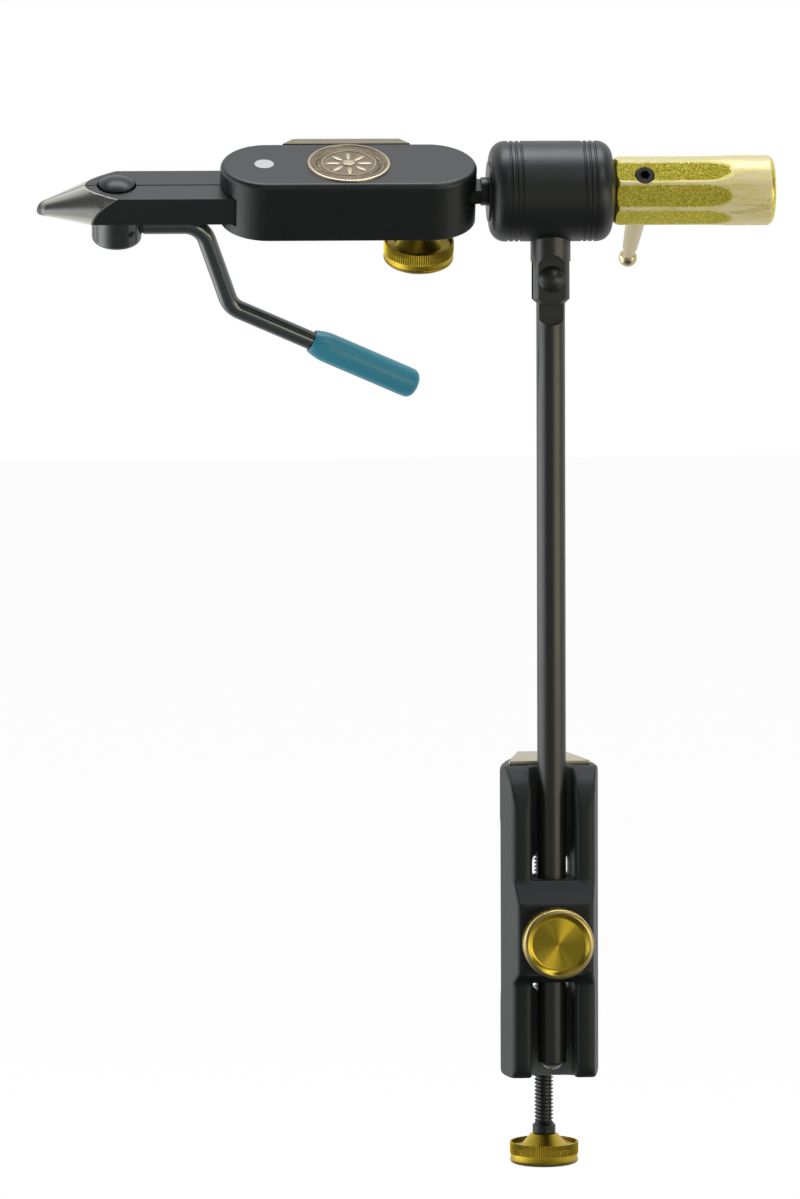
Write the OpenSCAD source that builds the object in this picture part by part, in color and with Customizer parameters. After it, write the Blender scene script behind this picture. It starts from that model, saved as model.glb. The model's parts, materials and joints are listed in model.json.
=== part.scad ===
// Fly tying vise: a rotary cam-jaw head on a tilting barrel, a round stem and a table clamp.
// Origin: on the table face of the upper arm, midway along it. +X to the turning handle,
// +Y over the table, +Z up. The head pieces are drawn level and then rolled about the
// rotary axis by head_roll. All sizes are in millimetres.

/* [Clamp] */
// Height of the gap between the two arms
throat_h = 64; // [50:1:76]
// Depth of the gap behind the spine
throat_depth = 30; // [26:1:34]
// Thickness of the upper arm
upper_arm_t = 16; // [13:0.5:20]
// Thickness of the lower arm
lower_arm_t = 23.1; // [17:0.1:27]
// Front to back depth of the spine
spine_d = 18; // [16.5:0.5:20]
// Width of the clamp where the spine meets the arms
clamp_w = 33; // [30:0.5:36]
// Taper of each side towards the front, as a share of the depth
side_draft_share = 0.1667; // [0.1:0.01:0.2]
// Width of the arms at their far end
arm_tip_w = 16; // [14:0.5:20]
// Width of the stem channel down the front
channel_w = 14.4; // [13.5:0.1:15.5]
// Width of the window through the spine
window_w = 12; // [9:0.5:13]
// Height of the boss that holds the stem
boss_h = 34; // [28:1:38]
// How far the boss stands in front of the spine
boss_proud = 6; // [4:0.5:8]
// Depth of the boss top below the table face
boss_drop = 21; // [16:1:25]
// Thickness of the brass plate on the upper arm
top_plate_t = 1.2; // [0.8:0.1:2]

/* [Clamp screw] */
// Diameter of the clamp screw
clamp_screw_d = 6.35; // [6:0.05:8]
// Length of the clamp screw from its tip to the collar
clamp_screw_len = 95; // [88:1:105]
// Gap between the table face and the pad, as it stands
table_gap = 9; // [4:1:16]
// Diameter of the swivel pad
pad_d = 19; // [15:0.5:22]
// Height of the swivel pad
pad_h = 8; // [7:0.5:10]

/* [Knobs] */
// Diameter of the three brass knobs
knob_d = 23.2; // [20:0.1:26]
// Thickness of a knob's knurled rim
knob_rim_t = 6; // [4.5:0.5:8]
// Number of flutes in the knurl
knurl_count = 72; // [48:6:90]
// Depth of the knurl
knurl_depth = 0.25; // [0.1:0.05:0.35]

/* [Stem] */
// Diameter of the stem
stem_d = 9.525; // [9:0.025:10]
// Length of the stem from its lower end to the tilt pivot
stem_len = 260.6; // [240:0.2:290]
// Thickness of the flat tang at the top of the stem
stem_tang_t = 5; // [4:0.25:5.5]

/* [Barrel] */
// Diameter of the barrel
barrel_d = 33; // [30:0.5:36]
// Length of the barrel
barrel_len = 40.1; // [36:0.1:46]
// Radius of the barrel's edges
barrel_edge_r = 5; // [3:0.25:5.25]
// Diameter of the knuckle under the barrel
fork_d = 13.2; // [12.5:0.05:13.5]
// Height of the barrel axis over the tilt pivot
pivot_drop = 28.8; // [27.5:0.1:32]

/* [Rotary handle] */
// Diameter of the brass handle
handle_d = 23; // [20:0.5:26]
// Length of the brass handle
handle_len = 52.9; // [46:0.1:60]
// Number of milled flats round the handle
flat_count = 8; // [5:1:8]
// Depth of each milled flat
flat_depth = 0.8; // [0.4:0.05:0.85]
// Length of the spin lever from the axis to its ball
spin_lever_len = 48; // [40:1:60]

/* [Head] */
// Length of the head block
head_len = 84; // [78:1:90]
// Width of the head block
head_w = 31; // [29:0.5:34]
// Height of the head block
head_h = 20.5; // [18.5:0.5:24]
// Angle by which the head is rolled about the rotary axis
head_roll = 26.6; // [0:0.1:60]
// Diameter of the medallion
medallion_d = 27.3; // [22:0.1:28]

/* [Jaws] */
// Reach of the jaws from their pivot pin to the tip
jaw_reach = 74.2; // [68:0.2:84]
// Width of one jaw
jaw_w = 10.4; // [9.6:0.1:11]
// Height of the jaws
jaw_h = 9.3; // [8.8:0.1:9.8]
// Slope of the jaw cone, radius over length
nose_slope_share = 0.44; // [0.42:0.01:0.6]
// Diameter of the pin that the jaws pivot on
jaw_pin_d = 6.35; // [5:0.05:7]

/* [Cam and lever] */
// Diameter of the cam barrel under the jaws
cam_d = 16.4; // [15.6:0.1:18]
// Height of the cam barrel
cam_h = 10.8; // [10.2:0.1:12]
// Diameter of the domed head of the cam post
dome_d = 11.7; // [11.6:0.05:12]
// Diameter of the lever rod
lever_d = 6.2; // [5.6:0.1:6.6]
// Length of the grip
grip_len = 39.3; // [32:0.1:44]
// Diameter of the grip
grip_d = 10; // [8.5:0.5:12]

/* [Hidden] */
$fn = 72;
wide_curve_fn = 240;

// Fits: radial play of a turning or sliding shaft, of a seated one, and gaps between faces
run_gap = 0.05;
seat_gap = 0.02;
face_gap = 0.05;
clear_gap = 0.2;
side_gap = 0.3;
overrun = 1;
small_edge = 0.6;

// Clamp layout
stem_setback = 8;
web_t = 4.5;
front_y = -throat_depth / 2 - spine_d;
spine_back_y = -throat_depth / 2;
arm_end_y = throat_depth / 2;
stem_y = front_y + stem_setback;
clamp_bottom_z = -throat_h - lower_arm_t;
underside_slope_share = 0.08;
clamp_low_z = clamp_bottom_z - underside_slope_share * (arm_end_y - front_y);
top_front_r = 15;
bottom_front_r = 4;
arm_end_r = 3;
throat_r = 5;
rail_edge_r = 2.5;
top_corner_r = 2.2;
bottom_corner_r = 2.2;
channel_corner_r = 3;
channel_lip_r = 2;
channel_back_y = spine_back_y - web_t;
boss_top_slope = 7.5;
boss_bottom_slope = 3.5;
boss_edge_r = 1.8;
boss_front_y = front_y - boss_proud;
boss_top_z = -boss_drop;
boss_bottom_z = boss_top_z - boss_h;
window_inset = 4;
window_corner_r = 3.5;
window_drop = 13;

// Brass plate on the upper arm
top_plate_inset = 2.3;
top_plate_tip_inset = 0.6;
top_plate_end_gap = 2;

// Clamp screw, pad and knobs
screw_behind_stem = 30;
screw_y = stem_y + screw_behind_stem;
pad_hub_d = 11;
pad_hub_h = 3.5;
pad_socket = 4;
collar_d = 7.8;
collar_h = 3.7;
knob_cone_h = 4;
knob_cone_d = 15.4;
knob_neck_d = 9;
knob_dish_d = 19.7;
knob_dish = 1;
knob_lip = 0.8;
knob_socket = 8;
pad_top_z = -table_gap;
screw_tip_z = pad_top_z - pad_h + pad_socket - face_gap;
collar_top_z = screw_tip_z - clamp_screw_len;
clamp_knob_z = collar_top_z - collar_h - knob_cone_h - knob_rim_t;

// Stem lock
lock_screw_d = 6.35;
lock_tip_len = 4;
lock_knob_gap = 1;
lock_z = boss_top_z - boss_top_slope - (boss_h - boss_top_slope - boss_bottom_slope) / 2;
lock_tip_y = stem_y - stem_d / 2 - face_gap;
lock_knob_y = boss_front_y - lock_knob_gap;

// Stem and tilt pivot
stem_rise = 3.7;
stem_bottom_z = clamp_bottom_z + stem_rise;
pivot_z = stem_bottom_z + stem_len;
axis_z = pivot_z + pivot_drop;
tang_cutter_r = 5.2;
tang_drop = 15.2;
stem_end_edge = 1;
end_cap_d = 7;
end_cap_h = 3;
end_cap_proud = 1.8;
pivot_d = 5;
pivot_head_d = 8.8;
pivot_head_h = 2.2;
fork_reach = 8;
fork_seat = 6;
fork_edge = 1.5;
fork_flat_w = 8.9;
fork_cutter_r = 4.9;
fork_slot_gap = 0.15;
fork_slot_top = 5.8;
fork_flat_top = 2.9;

// Barrel
barrel_x = -20.1;
barrel_bore_d = 15;
groove_d = 0.9;
groove_pitch = 1.8;
groove_inset_front = 6.2;
groove_inset_rear = 6.1;
groove_count = 3;
bushing_len = 11;
flange_d = 19.6;
flange_t = 0.6;

// Spindle
spindle_d = 8;
spindle_collar_d = 9.3;
spindle_collar_len = 2.2;
head_pivot_x = -42.8;
tang_t = 4.8;
tang_eye_r = 6.5;
tang_neck_w = 8.8;
tang_neck_angle = 60;
washer_t = 0.5;
washer_d = 15;
barrel_end_x = barrel_x + barrel_len;
collar_x = barrel_x - flange_t - face_gap - spindle_collar_len;

// Rotary handle
handle_x = barrel_end_x + face_gap + washer_t;
handle_edge_r = 2.2;
handle_socket = 40;
flat_runout_r = 73;
flat_end_inset = 13.1;
first_flat_angle = -9.5;
lever_hole_x = 9.6;
lever_hole_angle = 28;
set_screw_d = 6.5;
set_screw_sink = 0.5;
set_screw_hex_d = 3.4;
set_screw_hex = 3;
lever_stub_d = 6;
lever_base_d = 7.2;
lever_tip_d = 5.1;
lever_neck_d = 3.8;
lever_neck_len = 7;
lever_shoulder = 1.2;
lever_ball_d = 6.2;

// Head block
head_x = -24.5;
head_edge_r = 1.8;
head_bottom_edge_r = 0.7;
cavity_side = 1;
cavity_end_gap = 1.5;
pocket_mouth_w = 17.8;
pocket_gap = 0.15;
pocket_eye_gap = 0.5;
medallion_x = head_x - head_len / 2;
medallion_t = 1.8;
medallion_seat = 1.2;
medallion_rim = 1.3;
medallion_relief = 0.35;
medallion_field = 0.3;
petal_count = 8;
petal_len_share = 0.62;
petal_w_share = 0.16;
pin_proud = 0.1;
side_plate_len = 42;
side_plate_t = 3.5;
side_plate_h = 14;
side_plate_drop = 0.2;
side_plate_pitch = 28;
side_screw_d = 3;
side_screw_depth = 3.2;
side_screw_head_d = 5.5;
side_screw_head_h = 1.8;

// Head lock
stud_d = 6;
stud_roof = 1.6;
lock_washer_d = 12;
lock_washer_t = 0.6;
head_knob_neck = 4.1;
head_knob_socket = 7;

// Jaws
jaw_pin_inset = 14.3;
jaw_pin_x = head_x - head_len + jaw_pin_inset;
jaw_top = 2.8;
jaw_bottom = jaw_top - jaw_h;
jaw_split = 0.2;
jaw_tail = 32;
tail_gap = 5.2;
nose_tip_r = 4;
nose_angle = atan(nose_slope_share);
nose_reach_r = norm([jaw_w, jaw_h]) + overrun;
tip_x = jaw_pin_x - jaw_reach;

// Cam post: tapered shank in a tapered slot
post_reach = 48.1;
post_x = jaw_pin_x - post_reach;
post_r = 2;
post_taper_share = 0.4;
wedge_gap = 0.15;
wedge_slot = 1.6;
recess_d = 12.9;
recess = 4.6;
dome_h = 2.5;
dome_edge = 1;
dome_seat_gap = 0.4;

// Springs between the jaw tails
spring_reach = 25;
spring_x = jaw_pin_x + spring_reach;
spring_count = 6;
spring_d = 8;
spring_wall = 0.8;
spring_end_gap = 0.05;
guide_d = 3.4;
guide_len = 8;
guide_gap = 0.25;
guide_hole = 3.8;

// Cam barrel, cross pin and lever
cam_edge_r = 2;
cam_top = jaw_bottom - clear_gap;
cam_post_depth = 7.8;
lever_drop = 5.2;
lever_z = jaw_bottom - lever_drop;
cam_pin_reach = 4.7;
cam_pin_x = post_x + cam_pin_reach;
cam_pin_d = 2;
cam_pin_len = 12.6;
cam_slot_top = 3.7;
cam_slot_bottom = 2.9;
tongue_w = 4;
tongue_h = 4;
tongue_slot = 2.3;
tongue_slot_depth = 1.2;
tongue_tip_gap = 0.3;
lever_front_gap = 0.5;
fulcrum_reach = 20.3;
fulcrum_x = post_x + fulcrum_reach;
fulcrum_d = 3;
fulcrum_len = 5.8;
fulcrum_z = jaw_bottom - clear_gap - fulcrum_d / 2;
bend_r = 8;
bend_lap = 0.3;
bend_inset = 0.02;
// Run and drop of the two sloping stretches of the lever
first_bend_run = 7.5;
down_run = 9.9;
down_drop = 30.3;
out_run = 27;
out_drop = 13.2;
grip_start_d = 7.6;
grip_taper = 5;
grip_end_r = 2.3;
grip_wall_end = 4;

lever_front_x = post_x + cam_d / 2 + lever_front_gap;
lever_route = [
  [lever_front_x, lever_z],
  [fulcrum_x + first_bend_run, lever_z],
  [fulcrum_x + first_bend_run + down_run, lever_z - down_drop],
  [fulcrum_x + first_bend_run + down_run + out_run, lever_z - down_drop - out_drop]
];
grip_angle = atan2(out_drop, out_run);

// Geometry helpers
function unit(v) = v / norm(v);
function left_of(v) = [-v[1], v[0]];
function turn_angle(a, b) = atan2(a[0] * b[1] - a[1] * b[0], a * b);

// Convex outline, drawn anticlockwise, with a round corner at each point
module rounded_outline(points, radii) {
  n = len(points);
  ways = [for (i = [0:n - 1]) unit(points[(i + 1) % n] - points[i])];
  into = [for (w = ways) left_of(w)];
  centres = [for (i = [0:n - 1]) let (a = into[(i + n - 1) % n], b = into[i])
    points[i] + (a + b) / (1 + a * b) * radii[i]];
  polygon([for (i = [0:n - 1]) for (side = [into[(i + n - 1) % n], into[i]])
    centres[i] - side * radii[i]]);
  for (i = [0:n - 1])
    if (radii[i] > 0)
      translate(centres[i]) circle(r = radii[i]);
}

// Places an outline drawn in Y and Z and draws it out along X
module side_profile(width) {
  rotate([90, 0, 90]) translate([0, 0, -width / 2]) linear_extrude(width) children();
}

// The head's own frame, rolled towards the front about the rotary axis
module in_head() {
  translate([0, stem_y, axis_z]) rotate([head_roll, 0, 0]) children();
}

// The rotary axis, level, with X along it
module on_axis() {
  translate([0, stem_y, axis_z]) children();
}

// Solid of revolution about X, from an outline with radius across and X upwards
module turned_on_x() {
  rotate([0, 90, 0]) rotate_extrude() children();
}

module knurl_outline(d, depth, count) {
  step = 180 / count;
  polygon([for (i = [0:2 * count - 1]) let (r = d / 2 - depth * (i % 2))
    [r * cos(i * step), r * sin(i * step)]]);
}

// Brass knob: face down at z = 0, knurled rim, cone and neck above
module brass_knob(neck, bore_d, socket) {
  top = knob_rim_t + knob_cone_h + neck;
  core_d = knob_d - 4 * knurl_depth;
  color([0.62, 0.54, 0.18]) difference() {
    union() {
      translate([0, 0, knob_lip]) linear_extrude(knob_rim_t - 2 * knob_lip)
        knurl_outline(knob_d, knurl_depth, knurl_count);
      cylinder(h = knob_lip, d1 = core_d - knob_lip, d2 = core_d);
      translate([0, 0, knob_lip]) cylinder(h = knob_rim_t - 2 * knob_lip, d = core_d);
      translate([0, 0, knob_rim_t - knob_lip])
        cylinder(h = knob_lip, d1 = core_d, d2 = core_d - knob_lip);
      translate([0, 0, knob_rim_t])
        cylinder(h = knob_cone_h, d1 = knob_cone_d, d2 = knob_neck_d);
      if (neck > 0)
        translate([0, 0, knob_rim_t + knob_cone_h]) cylinder(h = neck, d = knob_neck_d);
    }
    translate([0, 0, -overrun]) cylinder(h = knob_dish + overrun, d = knob_dish_d);
    translate([0, 0, top - socket])
      cylinder(h = socket + overrun, d = bore_d + 2 * seat_gap);
  }
}

// Outline of the clamp seen from above, with its front face at y_front
module clamp_plan(y_front, edge_r) {
  w_front = clamp_w - 2 * side_draft_share * (spine_back_y - y_front);
  rounded_outline([
    [-w_front / 2, y_front], [w_front / 2, y_front],
    [clamp_w / 2, spine_back_y], [arm_tip_w / 2, arm_end_y],
    [-arm_tip_w / 2, arm_end_y], [-clamp_w / 2, spine_back_y]
  ], [edge_r, edge_r, arm_end_r, arm_end_r, arm_end_r, arm_end_r]);
}

module clamp_body() {
  tall = upper_arm_t - clamp_low_z + 2 * overrun;
  color([0.09, 0.10, 0.10]) difference() {
    union() {
      difference() {
        intersection() {
          side_profile(clamp_w + 2 * overrun) rounded_outline([
            [front_y, clamp_bottom_z], [arm_end_y, clamp_low_z],
            [arm_end_y, upper_arm_t], [front_y, upper_arm_t]
          ], [bottom_front_r, arm_end_r, arm_end_r, top_front_r]);
          translate([0, 0, clamp_low_z - overrun])
            linear_extrude(tall) clamp_plan(front_y, rail_edge_r);
          clamp_top_edges();
          clamp_bottom_edges();
        }
        throat_cut();
        channel_cut();
        window_cut();
      }
      boss();
    }
    // Stem bore, lock screw bore and clamp screw bore
    translate([0, stem_y, boss_bottom_z - overrun])
      cylinder(h = boss_h + 2 * overrun, d = stem_d + 2 * run_gap);
    translate([0, stem_y, lock_z]) rotate([90, 0, 0])
      cylinder(h = stem_y - boss_front_y + overrun, d = lock_screw_d + 2 * run_gap);
    translate([0, screw_y, clamp_low_z - overrun])
      cylinder(h = -throat_h - clamp_low_z + 2 * overrun, d = clamp_screw_d + 2 * run_gap);
  }
}

// Front view of the clamp, drawn right through it, which rounds the top edges
module clamp_top_edges() {
  half = clamp_w / 2;
  translate([0, arm_end_y + overrun, 0]) rotate([90, 0, 0])
    linear_extrude(arm_end_y - front_y + 2 * overrun) rounded_outline([
      [-half, clamp_low_z - overrun], [half, clamp_low_z - overrun],
      [half, upper_arm_t], [-half, upper_arm_t]
    ], [0, 0, top_corner_r, top_corner_r]);
}

// The same along the sloping underside, which rounds the bottom edges
module clamp_bottom_edges() {
  half = clamp_w / 2;
  depth = arm_end_y - front_y;
  tall = upper_arm_t - clamp_bottom_z;
  translate([0, front_y, clamp_bottom_z]) rotate([-atan(underside_slope_share), 0, 0])
    translate([0, depth + tall / 2, 0]) rotate([90, 0, 0])
      linear_extrude(depth + tall) rounded_outline([
        [-half, 0], [half, 0], [half, 2 * tall], [-half, 2 * tall]
      ], [bottom_corner_r, bottom_corner_r, 0, 0]);
}

module throat_cut() {
  side_profile(clamp_w + 2 * overrun) rounded_outline([
    [spine_back_y, -throat_h], [arm_end_y + overrun, -throat_h],
    [arm_end_y + overrun, 0], [spine_back_y, 0]
  ], [throat_r, 0, 0, throat_r]);
}

module channel_cut() {
  half = channel_w / 2;
  translate([0, 0, clamp_low_z - overrun])
    linear_extrude(upper_arm_t - clamp_low_z + 2 * overrun) {
      rounded_outline([
        [-half, front_y - overrun], [half, front_y - overrun],
        [half, channel_back_y], [-half, channel_back_y]
      ], [0, 0, channel_corner_r, channel_corner_r]);
      for (side = [-1, 1]) scale([side, 1]) difference() {
        translate([0, front_y - overrun])
          square([half + channel_lip_r, overrun + channel_lip_r]);
        translate([half + channel_lip_r, front_y + channel_lip_r]) circle(r = channel_lip_r);
      }
    }
}

module window_cut() {
  half = window_w / 2;
  top = -window_drop;
  bottom = -throat_h + window_inset;
  translate([0, spine_back_y + overrun, 0]) rotate([90, 0, 0])
    linear_extrude(web_t + 2 * overrun) rounded_outline([
      [-half, bottom], [half, bottom], [half, top], [-half, top]
    ], [window_corner_r, window_corner_r, window_corner_r, window_corner_r]);
}

module boss() {
  intersection() {
    side_profile(clamp_w + 2 * overrun) polygon([
      [front_y, boss_bottom_z], [spine_back_y, boss_bottom_z],
      [spine_back_y, boss_top_z], [front_y, boss_top_z],
      [boss_front_y, boss_top_z - boss_top_slope],
      [boss_front_y, boss_bottom_z + boss_bottom_slope]
    ]);
    translate([0, 0, boss_bottom_z - overrun])
      linear_extrude(boss_h + 2 * overrun) clamp_plan(boss_front_y, boss_edge_r);
  }
}

module clamp_top_plate() {
  near_y = front_y + top_front_r;
  far_y = arm_end_y - top_plate_end_gap;
  near_w = clamp_w - 2 * side_draft_share * (spine_back_y - near_y) - 2 * top_plate_inset;
  far_w = arm_tip_w + (clamp_w - arm_tip_w) * top_plate_end_gap / throat_depth
    - 2 * top_plate_tip_inset;
  color([0.70, 0.64, 0.46]) translate([0, 0, upper_arm_t])
    linear_extrude(top_plate_t) rounded_outline([
      [-near_w / 2, near_y], [near_w / 2, near_y], [far_w / 2, far_y], [-far_w / 2, far_y]
    ], [small_edge, small_edge, small_edge, small_edge]);
}

module swivel_pad() {
  color([0.25, 0.26, 0.27]) translate([0, screw_y, pad_top_z]) difference() {
    union() {
      translate([0, 0, -small_edge])
        cylinder(h = small_edge, d1 = pad_d, d2 = pad_d - 2 * small_edge);
      translate([0, 0, pad_hub_h - pad_h])
        cylinder(h = pad_h - pad_hub_h - small_edge, d = pad_d);
      translate([0, 0, -pad_h]) cylinder(h = pad_hub_h, d = pad_hub_d);
    }
    translate([0, 0, -pad_h - overrun])
      cylinder(h = pad_socket + overrun, d = clamp_screw_d + 2 * run_gap);
  }
}

module clamp_screw() {
  color([0.07, 0.07, 0.08]) translate([0, screw_y, collar_top_z]) {
    cylinder(h = clamp_screw_len - small_edge, d = clamp_screw_d);
    translate([0, 0, clamp_screw_len - small_edge])
      cylinder(h = small_edge, d1 = clamp_screw_d, d2 = clamp_screw_d - 2 * small_edge);
    translate([0, 0, -collar_h]) cylinder(h = collar_h, d = collar_d);
    translate([0, 0, -collar_h - knob_socket + seat_gap])
      cylinder(h = knob_socket, d = clamp_screw_d);
  }
}

module clamp_knob() {
  translate([0, screw_y, clamp_knob_z]) brass_knob(0, clamp_screw_d, knob_socket);
}

module stem_lock_tip() {
  color([0.85, 0.83, 0.76]) translate([0, lock_tip_y, lock_z]) rotate([90, 0, 0])
    cylinder(h = lock_tip_len, d = lock_screw_d);
}

module stem_lock_screw() {
  start = lock_tip_y - lock_tip_len;
  color([0.07, 0.07, 0.08]) translate([0, start, lock_z]) rotate([90, 0, 0])
    cylinder(h = start - lock_knob_y + knob_socket - seat_gap, d = lock_screw_d);
}

module stem_lock_knob() {
  translate([0, lock_knob_y - knob_cone_h - knob_rim_t, lock_z]) rotate([-90, 0, 0])
    brass_knob(0, lock_screw_d, knob_socket);
}

module stem_end_cap() {
  cap_r = (pow(end_cap_d / 2, 2) + pow(end_cap_proud, 2)) / (2 * end_cap_proud);
  color([0.75, 0.76, 0.78]) translate([0, stem_y, stem_bottom_z]) {
    cylinder(h = end_cap_h, d = end_cap_d);
    intersection() {
      translate([0, 0, cap_r - end_cap_proud]) sphere(r = cap_r);
      translate([0, 0, -end_cap_proud - overrun])
        cylinder(h = end_cap_proud + overrun, d = end_cap_d);
    }
  }
}

module stem_rod() {
  r = stem_d / 2;
  cutter_z = pivot_z - tang_drop + tang_cutter_r;
  color([0.10, 0.10, 0.09]) translate([0, stem_y, 0]) difference() {
    union() {
      translate([0, 0, stem_bottom_z])
        cylinder(h = stem_end_edge, d1 = stem_d - 2 * stem_end_edge, d2 = stem_d);
      translate([0, 0, stem_bottom_z + stem_end_edge])
        cylinder(h = stem_len - stem_end_edge, d = stem_d);
      // Round top of the tang, about the pivot
      intersection() {
        translate([0, 0, pivot_z]) cylinder(h = stem_d, d = stem_d);
        translate([0, stem_d, pivot_z]) rotate([90, 0, 0]) cylinder(h = 2 * stem_d, r = r);
      }
    }
    // Milled front and back flats that end in a round run-out
    for (side = [-1, 1]) scale([1, side, 1]) translate([0, stem_tang_t / 2 + stem_d, 0])
      rotate([90, 0, 0]) linear_extrude(stem_d) union() {
        translate([0, cutter_z]) circle(r = tang_cutter_r);
        translate([-tang_cutter_r, cutter_z])
          square([2 * tang_cutter_r, pivot_z + stem_d - cutter_z]);
      }
    translate([0, stem_d, pivot_z]) rotate([90, 0, 0])
      cylinder(h = 2 * stem_d, d = pivot_d + 2 * run_gap);
    translate([0, 0, stem_bottom_z - overrun])
      cylinder(h = end_cap_h + face_gap + overrun, d = end_cap_d + 2 * run_gap);
  }
}

module barrel() {
  r = barrel_d / 2;
  first = [barrel_x + groove_inset_front, barrel_x + barrel_len - groove_inset_rear];
  color([0.10, 0.10, 0.11]) on_axis() difference() {
    turned_on_x() difference() {
      union() {
        translate([0, barrel_x + barrel_edge_r])
          square([r, barrel_len - 2 * barrel_edge_r]);
        translate([0, barrel_x]) square([r - barrel_edge_r, barrel_len]);
        for (x = [barrel_x + barrel_edge_r, barrel_x + barrel_len - barrel_edge_r])
          translate([r - barrel_edge_r, x]) circle(r = barrel_edge_r);
      }
      for (i = [0:groove_count - 1]) {
        translate([r, first[0] + i * groove_pitch]) circle(d = groove_d);
        translate([r, first[1] - i * groove_pitch]) circle(d = groove_d);
      }
      translate([-overrun, barrel_x - overrun])
        square([barrel_bore_d / 2 + overrun, barrel_len + 2 * overrun]);
      translate([0, barrel_x + barrel_len - flange_t])
        square([flange_d / 2 + seat_gap, flange_t + overrun]);
    }
    // Seat of the knuckle
    translate([0, 0, -r - overrun])
      cylinder(h = fork_seat + overrun, d = fork_d + 2 * seat_gap);
  }
}

module fork() {
  top = barrel_d / 2 - fork_seat;
  low = pivot_drop + fork_reach;
  flat_y = sqrt(pow(fork_d / 2, 2) - pow(fork_flat_w / 2, 2));
  slot = stem_tang_t + 2 * fork_slot_gap;
  color([0.11, 0.11, 0.10]) on_axis() difference() {
    union() {
      translate([0, 0, -low])
        cylinder(h = fork_edge, d1 = fork_d - 2 * fork_edge, d2 = fork_d);
      translate([0, 0, -low + fork_edge])
        cylinder(h = low - fork_edge - top - seat_gap, d = fork_d);
    }
    // Slot for the stem's tang
    translate([-fork_d, -slot / 2, -low - overrun])
      cube([2 * fork_d, slot, low + overrun - pivot_drop + fork_slot_top]);
    // Front and back flats with a round top
    for (side = [-1, 1]) scale([1, side, 1]) translate([0, flat_y + fork_d, 0])
      rotate([90, 0, 0]) linear_extrude(fork_d) union() {
        translate([0, -pivot_drop + fork_flat_top]) circle(r = fork_cutter_r);
        translate([-fork_cutter_r, -low - overrun])
          square([2 * fork_cutter_r, low + overrun - pivot_drop + fork_flat_top]);
      }
    translate([0, fork_d, -pivot_drop]) rotate([90, 0, 0])
      cylinder(h = 2 * fork_d, d = pivot_d + 2 * seat_gap);
  }
}

module pivot_screw() {
  flat_y = sqrt(pow(fork_d / 2, 2) - pow(fork_flat_w / 2, 2));
  cap_r = (pow(pivot_head_d / 2, 2) + pow(pivot_head_h, 2)) / (2 * pivot_head_h);
  color([0.12, 0.12, 0.11]) translate([0, stem_y, pivot_z]) rotate([90, 0, 0]) {
    translate([0, 0, -flat_y])
      cylinder(h = 2 * flat_y + pivot_head_h / 2, d = pivot_d);
    translate([0, 0, flat_y]) intersection() {
      cylinder(h = pivot_head_h, d = pivot_head_d);
      translate([0, 0, pivot_head_h - cap_r]) sphere(r = cap_r);
    }
  }
}

module pivot_nut() {
  flat_y = sqrt(pow(fork_d / 2, 2) - pow(fork_flat_w / 2, 2));
  color([0.12, 0.12, 0.11]) translate([0, stem_y + flat_y, pivot_z]) rotate([-90, 0, 0])
    intersection() {
      cylinder(h = pivot_head_h, d = pivot_head_d, $fn = 6);
      cylinder(h = pivot_head_h, d1 = pivot_head_d, d2 = pivot_head_d - small_edge);
    }
}

// Flanged bushing with its flange's outer face at x = 0 and its sleeve along +X
module bushing() {
  color([0.66, 0.62, 0.50]) rotate([0, 90, 0]) difference() {
    union() {
      cylinder(h = flange_t, d = flange_d);
      cylinder(h = flange_t + bushing_len, d = barrel_bore_d - 2 * seat_gap);
    }
    translate([0, 0, -overrun])
      cylinder(h = flange_t + bushing_len + 2 * overrun, d = spindle_d + 2 * run_gap);
  }
}

module front_bushing() {
  on_axis() translate([barrel_x - flange_t, 0, 0]) bushing();
}

module rear_bushing() {
  on_axis() translate([barrel_end_x, 0, 0]) mirror([1, 0, 0]) bushing();
}

module spindle() {
  shaft_x = collar_x + spindle_collar_len;
  shaft_end = handle_x + handle_socket - face_gap;
  neck = tang_eye_r * [cos(tang_neck_angle), sin(tang_neck_angle)];
  color([0.10, 0.10, 0.11]) in_head() {
    translate([shaft_x, 0, 0]) rotate([0, 90, 0])
      cylinder(h = shaft_end - shaft_x, d = spindle_d);
    translate([collar_x, 0, 0]) rotate([0, 90, 0])
      cylinder(h = spindle_collar_len, d = spindle_collar_d);
    // Flat tang with an eye
    translate([0, 0, -tang_t / 2]) linear_extrude(tang_t) difference() {
      union() {
        polygon([
          [collar_x, -tang_neck_w / 2], [collar_x, tang_neck_w / 2],
          [head_pivot_x + neck[0], neck[1]], [head_pivot_x, 0],
          [head_pivot_x + neck[0], -neck[1]]
        ]);
        translate([head_pivot_x, 0]) circle(r = tang_eye_r);
      }
      translate([head_pivot_x, 0]) circle(d = stud_d + 2 * run_gap);
    }
  }
}

module friction_washer() {
  color([0.9, 0.9, 0.88]) on_axis() translate([handle_x - washer_t, 0, 0])
    rotate([0, 90, 0]) difference() {
      cylinder(h = washer_t, d = washer_d);
      translate([0, 0, -overrun])
        cylinder(h = washer_t + 2 * overrun, d = spindle_d + 2 * seat_gap);
    }
}

// One milled flat on the side facing +Z, ending in a long curved run-out
module handle_flat() {
  r = handle_d / 2;
  floor_z = r - flat_depth;
  end_x = handle_x + handle_len - flat_end_inset - sqrt(
    pow(flat_runout_r, 2) - pow(flat_runout_r - flat_depth, 2));
  translate([handle_x - overrun, -r, floor_z])
    cube([end_x - handle_x + overrun, 2 * r, r]);
  translate([end_x, r, floor_z + flat_runout_r]) rotate([90, 0, 0])
    cylinder(h = 2 * r, r = flat_runout_r, $fn = wide_curve_fn);
}

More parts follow.
